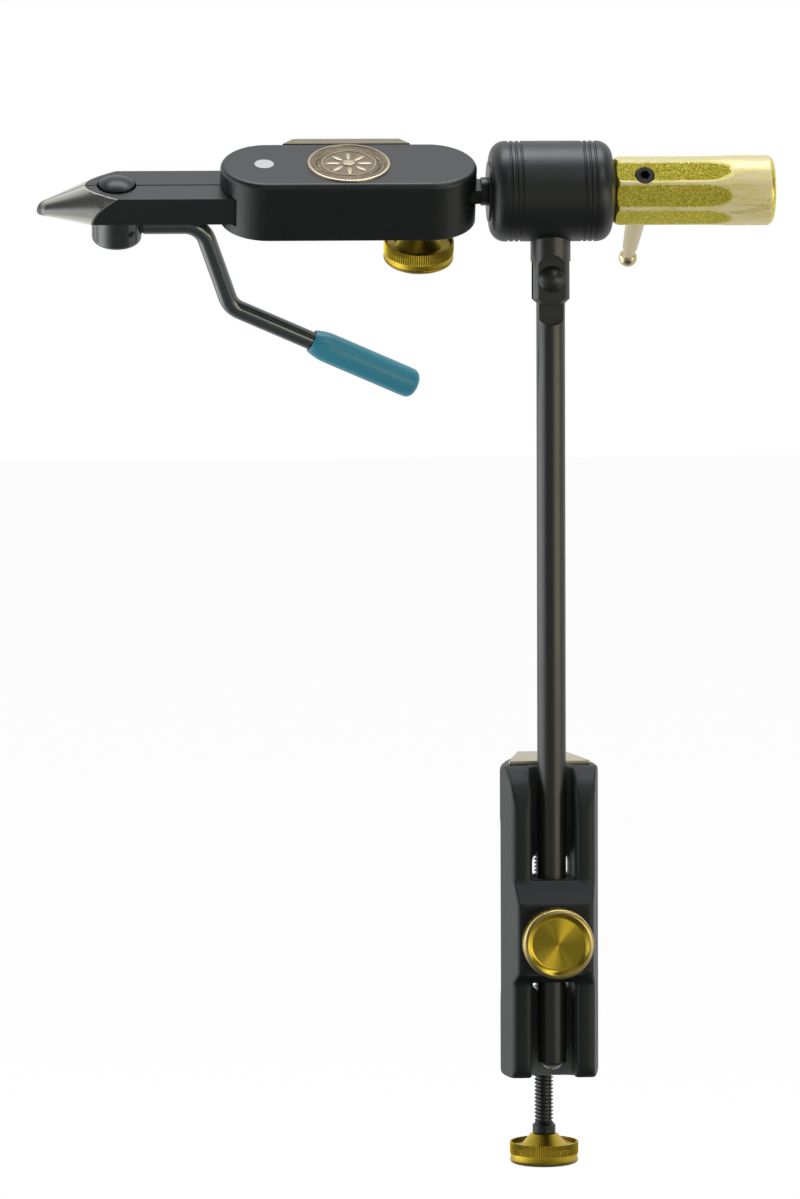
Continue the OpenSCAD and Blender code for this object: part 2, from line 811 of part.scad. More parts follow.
module rotary_handle() {
  r = handle_d / 2;
  color([0.66, 0.57, 0.22]) on_axis() difference() {
    turned_on_x() {
      translate([0, handle_x + handle_edge_r]) square([r, handle_len - 2 * handle_edge_r]);
      translate([0, handle_x]) square([r - handle_edge_r, handle_len]);
      for (x = [handle_x + handle_edge_r, handle_x + handle_len - handle_edge_r])
        translate([r - handle_edge_r, x]) circle(r = handle_edge_r);
    }
    for (i = [0:flat_count - 1])
      rotate([90 - first_flat_angle + i * 360 / flat_count, 0, 0]) handle_flat();
    translate([handle_x - overrun, 0, 0]) rotate([0, 90, 0])
      cylinder(h = handle_socket + overrun, d = spindle_d + 2 * seat_gap);
    translate([handle_x + lever_hole_x, 0, 0]) {
      rotate([90 - lever_hole_angle, 0, 0])
        cylinder(h = r + overrun, d = set_screw_d + 2 * seat_gap);
      rotate([-90 - lever_hole_angle, 0, 0])
        cylinder(h = r + overrun, d = lever_stub_d + 2 * seat_gap);
    }
  }
}

module handle_set_screw() {
  low = spindle_d / 2 + face_gap;
  top = handle_d / 2 - set_screw_sink;
  color([0.06, 0.06, 0.06]) on_axis() translate([handle_x + lever_hole_x, 0, 0])
    rotate([90 - lever_hole_angle, 0, 0]) difference() {
      union() {
        translate([0, 0, low]) cylinder(h = top - low - small_edge, d = set_screw_d);
        translate([0, 0, top - small_edge])
          cylinder(h = small_edge, d1 = set_screw_d, d2 = set_screw_d - small_edge);
      }
      translate([0, 0, top - set_screw_hex])
        cylinder(h = set_screw_hex + overrun, d = set_screw_hex_d, $fn = 6);
    }
}

module spin_lever() {
  r = handle_d / 2;
  neck = spin_lever_len - lever_neck_len;
  color([0.85, 0.78, 0.60]) on_axis() translate([handle_x + lever_hole_x, 0, 0])
    rotate([-90 - lever_hole_angle, 0, 0]) {
      translate([0, 0, spindle_d / 2 + face_gap])
        cylinder(h = r - spindle_d / 2 + seat_gap, d = lever_stub_d);
      translate([0, 0, r + seat_gap])
        cylinder(h = neck - lever_shoulder - r, d1 = lever_base_d, d2 = lever_tip_d);
      translate([0, 0, neck - lever_shoulder + seat_gap])
        cylinder(h = lever_shoulder, d1 = lever_tip_d, d2 = lever_neck_d);
      translate([0, 0, neck]) cylinder(h = lever_neck_len, d = lever_neck_d);
      translate([0, 0, spin_lever_len]) sphere(d = lever_ball_d);
    }
}

// Half cross-section of the head block, from its middle out to one side
module head_section() {
  r = head_w / 2;
  half = head_h / 2;
  translate([0, head_bottom_edge_r - half])
    square([r, head_h - head_edge_r - head_bottom_edge_r]);
  translate([0, -half]) square([r - head_bottom_edge_r, head_h - head_edge_r]);
  translate([0, -half]) square([r - head_edge_r, head_h]);
  translate([r - head_edge_r, half - head_edge_r]) circle(r = head_edge_r);
  translate([r - head_bottom_edge_r, head_bottom_edge_r - half])
    circle(r = head_bottom_edge_r);
}

module head_block() {
  r = head_w / 2;
  half = head_h / 2;
  mouth_x = head_x + overrun;
  cavity_x = jaw_pin_x + jaw_tail + cavity_end_gap;
  front_x = head_x - head_len - overrun;
  slope = (pocket_mouth_w / 2 - tang_eye_r - pocket_eye_gap) / (head_x - head_pivot_x);
  mouth = pocket_mouth_w / 2 + slope * overrun;
  eye = tang_eye_r + pocket_eye_gap;
  color([0.10, 0.10, 0.11]) in_head() difference() {
    union() {
      for (x = [head_x - r, head_x - head_len + r])
        translate([x, 0, 0]) rotate_extrude() head_section();
      rotate([90, 0, 90]) translate([0, 0, head_x - head_len + r])
        linear_extrude(head_len - head_w) {
          head_section();
          mirror([1, 0]) head_section();
        }
    }
    // Cavity for the jaws, open at the front
    translate([front_x, -jaw_w - cavity_side, jaw_bottom - clear_gap])
      cube([cavity_x - front_x, 2 * (jaw_w + cavity_side), jaw_h + 2 * clear_gap]);
    // Pocket for the spindle's tang, open at the rear
    translate([0, 0, -tang_t / 2 - pocket_gap]) linear_extrude(tang_t + 2 * pocket_gap)
      union() {
        polygon([
          [head_pivot_x, -eye], [mouth_x, -mouth], [mouth_x, mouth], [head_pivot_x, eye]
        ]);
        translate([head_pivot_x, 0]) circle(r = eye);
      }
    // Stud hole, jaw pin hole and medallion seat
    translate([head_pivot_x, 0, -half - overrun])
      cylinder(h = head_h - stud_roof + overrun, d = stud_d + 2 * run_gap);
    translate([jaw_pin_x, 0, -half - overrun])
      cylinder(h = head_h + 2 * overrun, d = jaw_pin_d + 2 * seat_gap);
    translate([medallion_x, 0, half - medallion_seat])
      cylinder(h = medallion_seat + overrun, d = medallion_d + 2 * seat_gap);
    for (side = [-1, 1])
      translate([medallion_x + side * side_plate_pitch / 2, r + overrun, side_plate_z()])
        rotate([90, 0, 0])
          cylinder(h = side_screw_depth + overrun, d = side_screw_d + 2 * seat_gap);
  }
}

function side_plate_z() = head_h / 2 - side_plate_drop - side_plate_h / 2;

module medallion() {
  r = medallion_d / 2;
  field_r = r - medallion_rim;
  top = head_h / 2 - medallion_seat + medallion_t;
  color([0.55, 0.45, 0.32]) in_head() translate([medallion_x, 0, 0]) {
    translate([0, 0, head_h / 2 - medallion_seat])
      cylinder(h = medallion_t - medallion_field, d = medallion_d);
    translate([0, 0, top - medallion_field]) linear_extrude(medallion_field) {
      difference() {
        circle(r = r);
        circle(r = field_r);
      }
      for (i = [0:petal_count - 1]) rotate(i * 360 / petal_count) polygon([
        [0, 0], [field_r * petal_len_share / 2, field_r * petal_w_share],
        [field_r * petal_len_share, 0], [field_r * petal_len_share / 2, -field_r * petal_w_share]
      ]);
    }
  }
}

module jaw_pin() {
  color([0.78, 0.79, 0.80]) in_head() translate([jaw_pin_x, 0, -head_h / 2])
    cylinder(h = head_h + pin_proud, d = jaw_pin_d);
}

module side_plate() {
  half = side_plate_len / 2;
  low = head_w / 2;
  color([0.72, 0.64, 0.36]) in_head() difference() {
    translate([medallion_x, 0, side_plate_z() - side_plate_h / 2])
      linear_extrude(side_plate_h) polygon([
        [-half, low], [half, low],
        [half - side_plate_t, low + side_plate_t], [side_plate_t - half, low + side_plate_t]
      ]);
    for (side = [-1, 1])
      translate([medallion_x + side * side_plate_pitch / 2, low - overrun, side_plate_z()])
        rotate([-90, 0, 0])
          cylinder(h = side_plate_t + 2 * overrun, d = side_screw_d + 2 * seat_gap);
  }
}

module side_plate_screws() {
  face = head_w / 2 + side_plate_t;
  color([0.08, 0.08, 0.08]) in_head() for (side = [-1, 1])
    translate([medallion_x + side * side_plate_pitch / 2, face, side_plate_z()])
      rotate([-90, 0, 0]) difference() {
        union() {
          translate([0, 0, seat_gap - side_plate_t - side_screw_depth])
            cylinder(h = side_plate_t + side_screw_depth - seat_gap, d = side_screw_d);
          cylinder(h = side_screw_head_h, d1 = side_screw_head_d,
                   d2 = side_screw_head_d - small_edge);
        }
        translate([0, 0, side_screw_head_h / 2])
          cylinder(h = side_screw_head_h, d = side_screw_d - small_edge, $fn = 6);
      }
}

// Stack of dished spring washers, laid alternately, standing along +Z from z = 0
module disc_springs() {
  stack = tail_gap - 2 * spring_end_gap;
  pitch = stack / spring_count;
  inner = guide_d / 2 + guide_gap;
  outer = spring_d / 2;
  bore = [for (i = [0:spring_count]) [i % 2 == 0 ? inner : outer - spring_wall, i * pitch]];
  rim = [for (i = [spring_count:-1:0])
    [i % 2 == 0 ? inner + spring_wall : outer, i * pitch]];
  color([0.72, 0.73, 0.75]) in_head()
    translate([spring_x, stack / 2, (jaw_top + jaw_bottom) / 2]) rotate([90, 0, 0])
      rotate_extrude() polygon(concat(bore, rim));
}

module spring_guide() {
  color([0.6, 0.6, 0.62]) in_head()
    translate([spring_x, guide_len / 2, (jaw_top + jaw_bottom) / 2]) rotate([90, 0, 0])
      cylinder(h = guide_len, d = guide_d);
}

module head_lock_washer() {
  color([0.15, 0.15, 0.15]) in_head()
    translate([head_pivot_x, 0, -head_h / 2 - face_gap - lock_washer_t]) difference() {
      cylinder(h = lock_washer_t, d = lock_washer_d);
      translate([0, 0, -overrun])
        cylinder(h = lock_washer_t + 2 * overrun, d = stud_d + 2 * run_gap);
    }
}

module head_lock_knob() {
  top = -head_h / 2 - face_gap - lock_washer_t;
  in_head() translate([head_pivot_x, 0, top - head_knob_neck - knob_cone_h - knob_rim_t])
    brass_knob(head_knob_neck, stud_d, head_knob_socket);
}

module head_lock_stud() {
  low = -head_h / 2 - face_gap - lock_washer_t - head_knob_socket + seat_gap;
  high = head_h / 2 - stud_roof - overrun;
  color([0.55, 0.56, 0.58]) in_head() translate([head_pivot_x, 0, low])
    cylinder(h = high - low, d = stud_d);
}

// Revolved blank of the nose: a round tip, a cone and a parallel body wider than the jaws
module nose_outline() {
  tip = [nose_tip_r * cos(nose_angle), nose_tip_r * (1 - sin(nose_angle))];
  cone_end = tip[1] + (nose_reach_r - tip[0]) / nose_slope_share;
  back = jaw_reach + jaw_tail + overrun;
  polygon([
    [0, nose_tip_r], tip, [nose_reach_r, cone_end], [nose_reach_r, back], [0, back]
  ]);
  intersection() {
    translate([0, nose_tip_r]) circle(r = nose_tip_r);
    square([nose_tip_r, nose_tip_r]);
  }
}

// Tapered slot that the cam post wedges apart
module wedge_slot_cut() {
  low = -overrun;
  high = jaw_h - recess;
  r_low = post_r + wedge_gap + post_taper_share * low;
  r_high = post_r + wedge_gap + post_taper_share * high;
  translate([post_x, 0, jaw_bottom]) {
    for (side = [-1, 1]) translate([side * wedge_slot, 0, low])
      cylinder(h = high - low, r1 = r_low, r2 = r_high);
    side_profile(2 * wedge_slot)
      polygon([[-r_low, low], [r_low, low], [r_high, high], [-r_high, high]]);
    translate([0, 0, high]) cylinder(h = recess + overrun, d = recess_d);
  }
}

// The far jaw; the near one is its mirror image
module jaw() {
  difference() {
    intersection() {
      translate([tip_x - overrun, jaw_split / 2, jaw_bottom])
        cube([jaw_reach + jaw_tail + overrun, jaw_w - jaw_split / 2, jaw_h]);
      translate([tip_x, 0, jaw_bottom]) turned_on_x() nose_outline();
    }
    wedge_slot_cut();
    // Pivot notch, and the relief between the two tails
    translate([jaw_pin_x, 0, jaw_bottom - overrun])
      cylinder(h = jaw_h + 2 * overrun, d = jaw_pin_d + 2 * run_gap);
    translate([jaw_pin_x, -tail_gap / 2, jaw_bottom - overrun])
      cube([jaw_tail + overrun, tail_gap, jaw_h + 2 * overrun]);
    translate([spring_x, tail_gap / 2 + guide_hole, (jaw_top + jaw_bottom) / 2])
      rotate([90, 0, 0])
        cylinder(h = guide_hole + overrun, d = guide_d + 2 * guide_gap);
  }
}

module far_jaw() {
  color([0.17, 0.17, 0.18]) in_head() jaw();
}

module near_jaw() {
  color([0.19, 0.19, 0.20]) in_head() mirror([0, 1, 0]) jaw();
}

module cam_post() {
  seat_z = jaw_top - dome_seat_gap;
  cap_h = dome_h + dome_seat_gap - dome_edge;
  cap_r = (pow(dome_d / 2, 2) + pow(cap_h, 2)) / (2 * cap_h);
  color([0.12, 0.12, 0.13]) in_head() translate([post_x, 0, 0]) {
    translate([0, 0, jaw_bottom - cam_post_depth])
      cylinder(h = cam_post_depth, r = post_r);
    translate([0, 0, jaw_bottom]) cylinder(h = seat_z - jaw_bottom, r1 = post_r,
      r2 = post_r + post_taper_share * (seat_z - jaw_bottom));
    translate([0, 0, seat_z]) cylinder(h = dome_edge, d = dome_d);
    intersection() {
      translate([0, 0, seat_z + dome_edge + cap_h - cap_r]) sphere(r = cap_r);
      translate([0, 0, seat_z + dome_edge]) cylinder(h = cap_h + overrun, d = dome_d);
    }
  }
}

module cam_barrel() {
  r = cam_d / 2;
  color([0.10, 0.10, 0.11]) in_head() difference() {
    translate([post_x, 0, cam_top - cam_h]) rotate_extrude() {
      translate([0, cam_edge_r]) square([r, cam_h - cam_edge_r]);
      square([r - cam_edge_r, cam_h]);
      translate([r - cam_edge_r, cam_edge_r]) circle(r = cam_edge_r);
    }
    translate([post_x, 0, jaw_bottom - cam_post_depth - seat_gap])
      cylinder(h = cam_post_depth + overrun, r = post_r + seat_gap);
    // Rear slot for the lever's tongue
    translate([post_x, -tongue_w / 2 - side_gap, lever_z - cam_slot_bottom])
      cube([cam_d, tongue_w + 2 * side_gap, cam_slot_bottom + cam_slot_top]);
    translate([cam_pin_x, cam_d, lever_z]) rotate([90, 0, 0])
      cylinder(h = 2 * cam_d, d = cam_pin_d + 2 * seat_gap);
  }
}

module cam_pin() {
  color([0.7, 0.7, 0.72]) in_head() translate([cam_pin_x, cam_pin_len / 2, lever_z])
    rotate([90, 0, 0]) cylinder(h = cam_pin_len, d = cam_pin_d);
}

// Round rod along a route in X and Z, with bends of one radius
module bent_rod(route, d, bend) {
  n = len(route);
  ways = [for (i = [0:n - 2]) unit(route[i + 1] - route[i])];
  turns = [for (i = [1:n - 2]) turn_angle(ways[i - 1], ways[i])];
  trims = concat([0], [for (t = turns) bend * tan(abs(t) / 2)], [0]);
  rotate([90, 0, 0]) {
    for (i = [0:n - 2]) {
      start = route[i] + ways[i] * trims[i];
      stretch = norm(route[i + 1] - route[i]) - trims[i] - trims[i + 1];
      translate(start) rotate([0, 90, atan2(ways[i][1], ways[i][0])])
        cylinder(h = stretch, d = d);
    }
    for (i = [1:n - 2]) {
      side = sign(turns[i - 1]);
      from = side > 0 ? -1 * ways[i - 1] : ways[i];
      corner = route[i] + from * trims[i];
      way = side > 0 ? ways[i - 1] : -1 * ways[i];
      lap = atan(bend_lap / bend);
      translate(corner + left_of(way) * bend)
        rotate([0, 0, atan2(-left_of(way)[1], -left_of(way)[0]) - lap])
          rotate_extrude(angle = abs(turns[i - 1]) + 2 * lap)
            translate([bend, 0]) circle(r = d / 2 - bend_inset);
    }
  }
}

module lever_rod() {
  tongue_x = post_x + post_r + tongue_tip_gap;
  grip_in = grip_len - grip_wall_end - face_gap;
  route = concat([for (i = [0:2]) lever_route[i]],
    [lever_route[3] + grip_in * [cos(grip_angle), -sin(grip_angle)]]);
  color([0.16, 0.16, 0.15]) in_head() difference() {
    union() {
      bent_rod(route, lever_d, bend_r);
      translate([tongue_x, -tongue_w / 2, lever_z - tongue_h / 2])
        cube([lever_front_x - tongue_x, tongue_w, tongue_h]);
    }
    // Open slot round the cross pin
    translate([tongue_x - overrun, -tongue_w, lever_z - tongue_slot / 2])
      cube([cam_pin_x + tongue_slot_depth - tongue_x + overrun, 2 * tongue_w, tongue_slot]);
    translate([fulcrum_x, lever_d, fulcrum_z]) rotate([90, 0, 0])
      cylinder(h = 2 * lever_d, d = fulcrum_d + 2 * seat_gap);
  }
}

module lever_fulcrum() {
  color([0.78, 0.79, 0.80]) in_head() translate([fulcrum_x, fulcrum_len / 2, fulcrum_z])
    rotate([90, 0, 0]) cylinder(h = fulcrum_len, d = fulcrum_d);
}

module lever_grip() {
  r = grip_d / 2;
  color([0.10, 0.48, 0.58]) in_head() translate([lever_route[3][0], 0, lever_route[3][1]])
    rotate([0, 90 + grip_angle, 0]) difference() {
      rotate_extrude() {
        polygon([
          [0, 0], [grip_start_d / 2, 0], [r, grip_taper], [r, grip_len - grip_end_r],
          [r - grip_end_r, grip_len], [0, grip_len]
        ]);
        translate([r - grip_end_r, grip_len - grip_end_r]) circle(r = grip_end_r);
      }
      translate([0, 0, -overrun])
        cylinder(h = grip_len - grip_wall_end + overrun, d = lever_d + 2 * seat_gap);
    }
}

clamp_body();
clamp_top_plate();
swivel_pad();
clamp_screw();
clamp_knob();
stem_lock_tip();
stem_lock_screw();
stem_lock_knob();
stem_end_cap();
stem_rod();
barrel();
fork();
pivot_screw();
pivot_nut();
front_bushing();
rear_bushing();
spindle();
friction_washer();
rotary_handle();
handle_set_screw();
spin_lever();
head_block();
medallion();
jaw_pin();
side_plate();
side_plate_screws();
disc_springs();
spring_guide();
head_lock_washer();
head_lock_knob();
head_lock_stud();
near_jaw();
far_jaw();
cam_post();
cam_barrel();
cam_pin();
lever_rod();
lever_fulcrum();
lever_grip();
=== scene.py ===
import json
from math import cos, pi, radians, sin, sqrt

import bmesh
import bpy
from mathutils import Matrix, Vector

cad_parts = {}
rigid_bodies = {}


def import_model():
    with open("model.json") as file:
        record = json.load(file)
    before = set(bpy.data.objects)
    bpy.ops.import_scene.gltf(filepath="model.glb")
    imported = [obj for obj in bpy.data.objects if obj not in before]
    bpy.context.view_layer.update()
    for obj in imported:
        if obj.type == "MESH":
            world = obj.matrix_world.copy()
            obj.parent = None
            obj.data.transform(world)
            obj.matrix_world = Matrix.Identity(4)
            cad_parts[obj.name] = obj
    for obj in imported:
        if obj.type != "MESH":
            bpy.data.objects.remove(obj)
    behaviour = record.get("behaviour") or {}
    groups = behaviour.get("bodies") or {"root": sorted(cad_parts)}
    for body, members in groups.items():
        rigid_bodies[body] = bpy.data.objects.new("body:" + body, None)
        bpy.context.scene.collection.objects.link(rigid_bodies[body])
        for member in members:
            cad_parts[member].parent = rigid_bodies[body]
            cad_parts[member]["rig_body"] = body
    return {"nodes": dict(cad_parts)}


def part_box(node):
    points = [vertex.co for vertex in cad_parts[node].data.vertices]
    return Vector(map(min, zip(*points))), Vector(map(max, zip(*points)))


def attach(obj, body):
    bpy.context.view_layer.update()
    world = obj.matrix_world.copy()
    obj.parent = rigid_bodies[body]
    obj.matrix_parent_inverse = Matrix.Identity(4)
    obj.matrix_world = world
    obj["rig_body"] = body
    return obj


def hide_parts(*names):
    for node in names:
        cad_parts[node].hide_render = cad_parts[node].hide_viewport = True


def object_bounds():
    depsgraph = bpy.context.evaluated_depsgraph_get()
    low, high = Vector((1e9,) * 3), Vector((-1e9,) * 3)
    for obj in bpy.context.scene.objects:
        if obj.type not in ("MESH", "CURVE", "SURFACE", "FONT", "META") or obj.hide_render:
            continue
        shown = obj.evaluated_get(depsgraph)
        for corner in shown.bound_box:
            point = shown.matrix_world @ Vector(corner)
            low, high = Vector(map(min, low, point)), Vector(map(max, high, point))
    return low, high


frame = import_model()
cad_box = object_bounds()
nodes = frame["nodes"]
scene = bpy.context.scene
scene.view_settings.view_transform = "Standard"

# camera
# A long lens from a little to the left and above, as a catalogue photograph is taken. Its
# place, turn and lens were fitted to the outlines in the photo.
CAMERA_AZIMUTH = radians(-3.792)
CAMERA_HEIGHT = radians(4.383)
CAMERA_ROLL = radians(-0.242)
CAMERA_DISTANCE = 1.796
CAMERA_TARGET = Vector((-0.05006, -0.025, 0.07192))
CAMERA_FOCAL_PX = 5447
PHOTO_LONG_SIDE_PX = 1199

lens = bpy.data.cameras.new("catalogue_lens")
lens.sensor_fit = "AUTO"
lens.sensor_width = 36
lens.lens = CAMERA_FOCAL_PX / PHOTO_LONG_SIDE_PX * lens.sensor_width
lens.clip_start = 0.05
lens.clip_end = 20
camera = bpy.data.objects.new("catalogue_camera", lens)
scene.collection.objects.link(camera)
view_way = Vector((-sin(CAMERA_AZIMUTH) * cos(CAMERA_HEIGHT),
                   cos(CAMERA_AZIMUTH) * cos(CAMERA_HEIGHT), -sin(CAMERA_HEIGHT)))
right_way = Vector((cos(CAMERA_AZIMUTH), sin(CAMERA_AZIMUTH), 0))
up_way = right_way.cross(view_way)
right_rolled = right_way * cos(CAMERA_ROLL) + up_way * sin(CAMERA_ROLL)
up_rolled = up_way * cos(CAMERA_ROLL) - right_way * sin(CAMERA_ROLL)
camera.matrix_world = Matrix.Translation(CAMERA_TARGET - view_way * CAMERA_DISTANCE) @ Matrix(
    (right_rolled, up_rolled, -view_way)).transposed().to_4x4()
scene.camera = camera

# clamp casting
# The C-clamp is an iron casting with rounded corners under a satin black enamel,
# machined only in its channel and bores, so its skin keeps a fine grain of the mould.
CASTING_VOXEL = 0.0005
CASTING_GRAIN = 0.0007


def linear(code):
    """The linear colour of an sRGB hex code."""
    parts = [int(code[i:i + 2], 16) / 255 for i in (1, 3, 5)]
    return tuple(p / 12.92 if p <= 0.04045 else ((p + 0.055) / 1.055) ** 2.4
                 for p in parts) + (1,)


def add_node(tree, kind, settings=None, links=None):
    """A node with its settings, by socket or property name, and its incoming links."""
    node = tree.nodes.new(kind)
    for key, value in (settings or {}).items():
        if isinstance(key, int) or key in node.inputs.keys():
            node.inputs[key].default_value = value
        else:
            setattr(node, key, value)
    for key, source in (links or {}).items():
        tree.links.new(source, node.inputs[key])
    return node


def start_material(name, colour, metallic, roughness, **shader):
    """An empty finish: its tree, its shader and the object's own coordinates."""
    material = bpy.data.materials.new(name)
    material.use_nodes = True
    tree = material.node_tree
    surface = tree.nodes["Principled BSDF"]
    surface.inputs["Base Color"].default_value = linear(colour)
    surface.inputs["Metallic"].default_value = metallic
    surface.inputs["Roughness"].default_value = roughness
    for key, value in shader.items():
        surface.inputs[key.replace("_", " ")].default_value = value
    place = add_node(tree, "ShaderNodeTexCoord").outputs["Object"]
    return material, tree, surface, place


def grained(tree, surface, place, size, detail, strength, distance, **noise):
    """A grain of a size in mm that bumps the surface. The finest are drawn about 0.3 mm
    wide, as coarse as they need to be to show."""
    grain = add_node(tree, "ShaderNodeTexNoise", {"Scale": 1000 / size, "Detail": detail, **noise},
                     {"Vector": place})
    bump = add_node(tree, "ShaderNodeBump", {"Strength": strength, "Distance": distance},
                    {"Height": grain.outputs["Fac"]})
    tree.links.new(bump.outputs["Normal"], surface.inputs["Normal"])
    return grain


def patchy(tree, surface, place, size, detail, low, high, **span):
    """A gloss that drifts between two roughnesses in soft patches of a size in mm."""
    painted_patch = add_node(tree, "ShaderNodeTexNoise", {"Scale": 1000 / size, "Detail": detail},
                     {"Vector": place})
    drift = add_node(tree, "ShaderNodeMapRange", {"To Min": low, "To Max": high, **span},
                     {"Value": painted_patch.outputs["Fac"]})
    tree.links.new(drift.outputs["Result"], surface.inputs["Roughness"])


def coat(material, *names):
    """Gives CAD nodes that are kept as they are their finish."""
    for name in names:
        nodes[name].data.materials.clear()
        nodes[name].data.materials.append(material)


# Satin black enamel over sand-cast iron: a fine orange peel and a paler rub on the edges.
cast_enamel, tree, surface, place = start_material("satin_black_enamel_on_cast_iron",
                                                   "#0F1615", 0.0, 0.44,
                                                   Specular_IOR_Level=0.34)
grain = add_node(tree, "ShaderNodeTexNoise",
                 {"Scale": 1 / CASTING_GRAIN, "Detail": 3.0, "Roughness": 0.6}, {"Vector": place})
swell = add_node(tree, "ShaderNodeTexNoise", {"Scale": 1 / 0.006, "Detail": 2.0},
                 {"Vector": place})
fine = add_node(tree, "ShaderNodeBump", {"Strength": 0.35, "Distance": 0.00012},
                {"Height": grain.outputs["Fac"]})
broad = add_node(tree, "ShaderNodeBump", {"Strength": 0.3, "Distance": 0.0003},
                 {"Height": swell.outputs["Fac"], "Normal": fine.outputs["Normal"]})
tree.links.new(broad.outputs["Normal"], surface.inputs["Normal"])
sheen = add_node(tree, "ShaderNodeMapRange", {"To Min": 0.40, "To Max": 0.56},
                 {"Value": grain.outputs["Fac"]})
tree.links.new(sheen.outputs["Result"], surface.inputs["Roughness"])
edge = add_node(tree, "ShaderNodeNewGeometry").outputs["Pointiness"]
wear_and_painted_highlight = add_node(tree, "ShaderNodeMapRange", {"From Min": 0.53, "From Max": 0.60}, {"Value": edge})
worn = add_node(tree, "ShaderNodeMix", {"data_type": "RGBA", 6: linear("#0F1615"),
                                        7: linear("#242928")}, {0: wear_and_painted_highlight.outputs["Result"]})
# Inside the channel the colour is painted lighter: partly machined iron under a thin coat, partly
# painted light that lifts the channel's shade.
CHANNEL_HALF = 0.0073
FRONT_Y = -0.033
CHANNEL_DEEP = 0.0155
span = add_node(tree, "ShaderNodeSeparateXYZ", None, {0: place})
beside = add_node(tree, "ShaderNodeMath", {"operation": "ABSOLUTE"}, {0: span.outputs["X"]})
between = add_node(tree, "ShaderNodeMapRange", {"From Min": CHANNEL_HALF + 0.0002,
                                                "From Max": CHANNEL_HALF - 0.0004},
                   {"Value": beside.outputs[0]})
deep = add_node(tree, "ShaderNodeMapRange", {"From Min": FRONT_Y + 0.001,
                                             "From Max": FRONT_Y + 0.004},
                {"Value": span.outputs["Y"]})
shallow = add_node(tree, "ShaderNodeMapRange", {"From Min": FRONT_Y + CHANNEL_DEEP + 0.001,
                                                "From Max": FRONT_Y + CHANNEL_DEEP},
                   {"Value": span.outputs["Y"]})
channel_painted_light = add_node(tree, "ShaderNodeMath", {"operation": "MULTIPLY"},
                  {0: between.outputs["Result"], 1: deep.outputs["Result"]})
channel_painted_light = add_node(tree, "ShaderNodeMath", {"operation": "MULTIPLY"},
                  {0: channel_painted_light.outputs[0], 1: shallow.outputs["Result"]})
channel_painted_light_tone = add_node(tree, "ShaderNodeMix", {"data_type": "RGBA", 7: linear("#474D49")},
                {0: channel_painted_light.outputs[0], 6: worn.outputs[2]})
tree.links.new(channel_painted_light_tone.outputs[2], surface.inputs["Base Color"])


def plain_copy(node):
    """The CAD solid's mesh, merged into one closed skin."""
    mesh = nodes[node].data.copy()
    mesh.materials.clear()
    bm = bmesh.new()
    bm.from_mesh(mesh)
    bmesh.ops.remove_doubles(bm, verts=bm.verts, dist=1e-6)
    bm.to_mesh(mesh)
    bm.free()
    if mesh.has_custom_normals:
        mesh.normals_split_custom_set([(0, 0, 0)] * len(mesh.loops))
    return mesh


def settle(name, mesh, body, material, replaced=(), sharp=40):
    """A finished piece at the origin, shaded smooth up to an angle, riding on its body."""
    mesh.name = name
    piece = bpy.data.objects.new(name, mesh)
    scene.collection.objects.link(piece)
    mesh.materials.clear()
    mesh.materials.append(material)
    mesh.polygons.foreach_set("use_smooth", [True] * len(mesh.polygons))
    mesh.polygons.foreach_set("material_index", [0] * len(mesh.polygons))
    mesh.set_sharp_from_angle(angle=radians(sharp))
    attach(piece, body)
    if replaced:
        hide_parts(*replaced)
    return piece


def evaluated(thing):
    """The plain mesh of an object with its modifiers applied; the object itself goes."""
    depsgraph = bpy.context.evaluated_depsgraph_get()
    mesh = bpy.data.meshes.new_from_object(thing.evaluated_get(depsgraph))
    old = thing.data
    bpy.data.objects.remove(thing)
    bpy.data.meshes.remove(old)
    return mesh


casting = bpy.data.objects.new("casting_blank", plain_copy("clamp_body"))
scene.collection.objects.link(casting)
skin = casting.modifiers.new("mould_skin", "REMESH")
skin.mode = "VOXEL"
skin.voxel_size = CASTING_VOXEL
ease = casting.modifiers.new("mould_corners", "SMOOTH")
ease.factor = 0.5
ease.iterations = 9
clamp_casting = settle("clamp_casting", evaluated(casting), "clamp", cast_enamel,
                       ["clamp_body"], sharp=180)

# clamp top plate
# A thin rolled brass plate fixed flat on the clamp's upper arm. Its dull skin is greyer than
# bright brass, and fine lines from the rolls draw its highlights out.


def rolled_brass(name, colour):
    """Rolled brass with fine lines along it and a patchy tarnish."""
    material, tree, surface, place = start_material(name, colour, 1.0, 0.38)
    stretch = add_node(tree, "ShaderNodeMapping", {"Scale": (1, 33.3, 33.3)}, {"Vector": place})
    grained(tree, surface, stretch.outputs["Vector"], 8.33, 3.0, 0.25, 0.00004)
    patchy(tree, surface, place, 5.56, 4.0, 0.30, 0.50)
    return material


def eased(name, node, width, material, sharp=35):
    """The CAD solid with its hard edges broken by a small round, as a file leaves them."""
    mesh = plain_copy(node)
    bm = bmesh.new()
    bm.from_mesh(mesh)
    bmesh.ops.dissolve_limit(bm, angle_limit=radians(0.4), verts=bm.verts, edges=bm.edges)
    bm.to_mesh(mesh)
    bm.free()
    mesh.polygons.foreach_set("use_smooth", [True] * len(mesh.polygons))
    blank = bpy.data.objects.new(name + "_blank", mesh)
    scene.collection.objects.link(blank)
    bevel = blank.modifiers.new("broken_edges", "BEVEL")
    bevel.limit_method = "ANGLE"
    bevel.angle_limit = radians(sharp)
    bevel.width = width
    bevel.segments = 2
    bevel.use_clamp_overlap = True
    # The larger faces set the normals, so that flats look flat.
    weights = blank.modifiers.new("face_weights", "WEIGHTED_NORMAL")
    weights.mode = "FACE_AREA_WITH_ANGLE"
    body = nodes[node]["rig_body"]
    piece = settle(name, evaluated(blank), body, material, [node], sharp=180)
    return piece


eased("top_plate_rolled", "clamp_top_plate", 0.00018,
      rolled_brass("rolled_brass_plate", "#B0A992"))

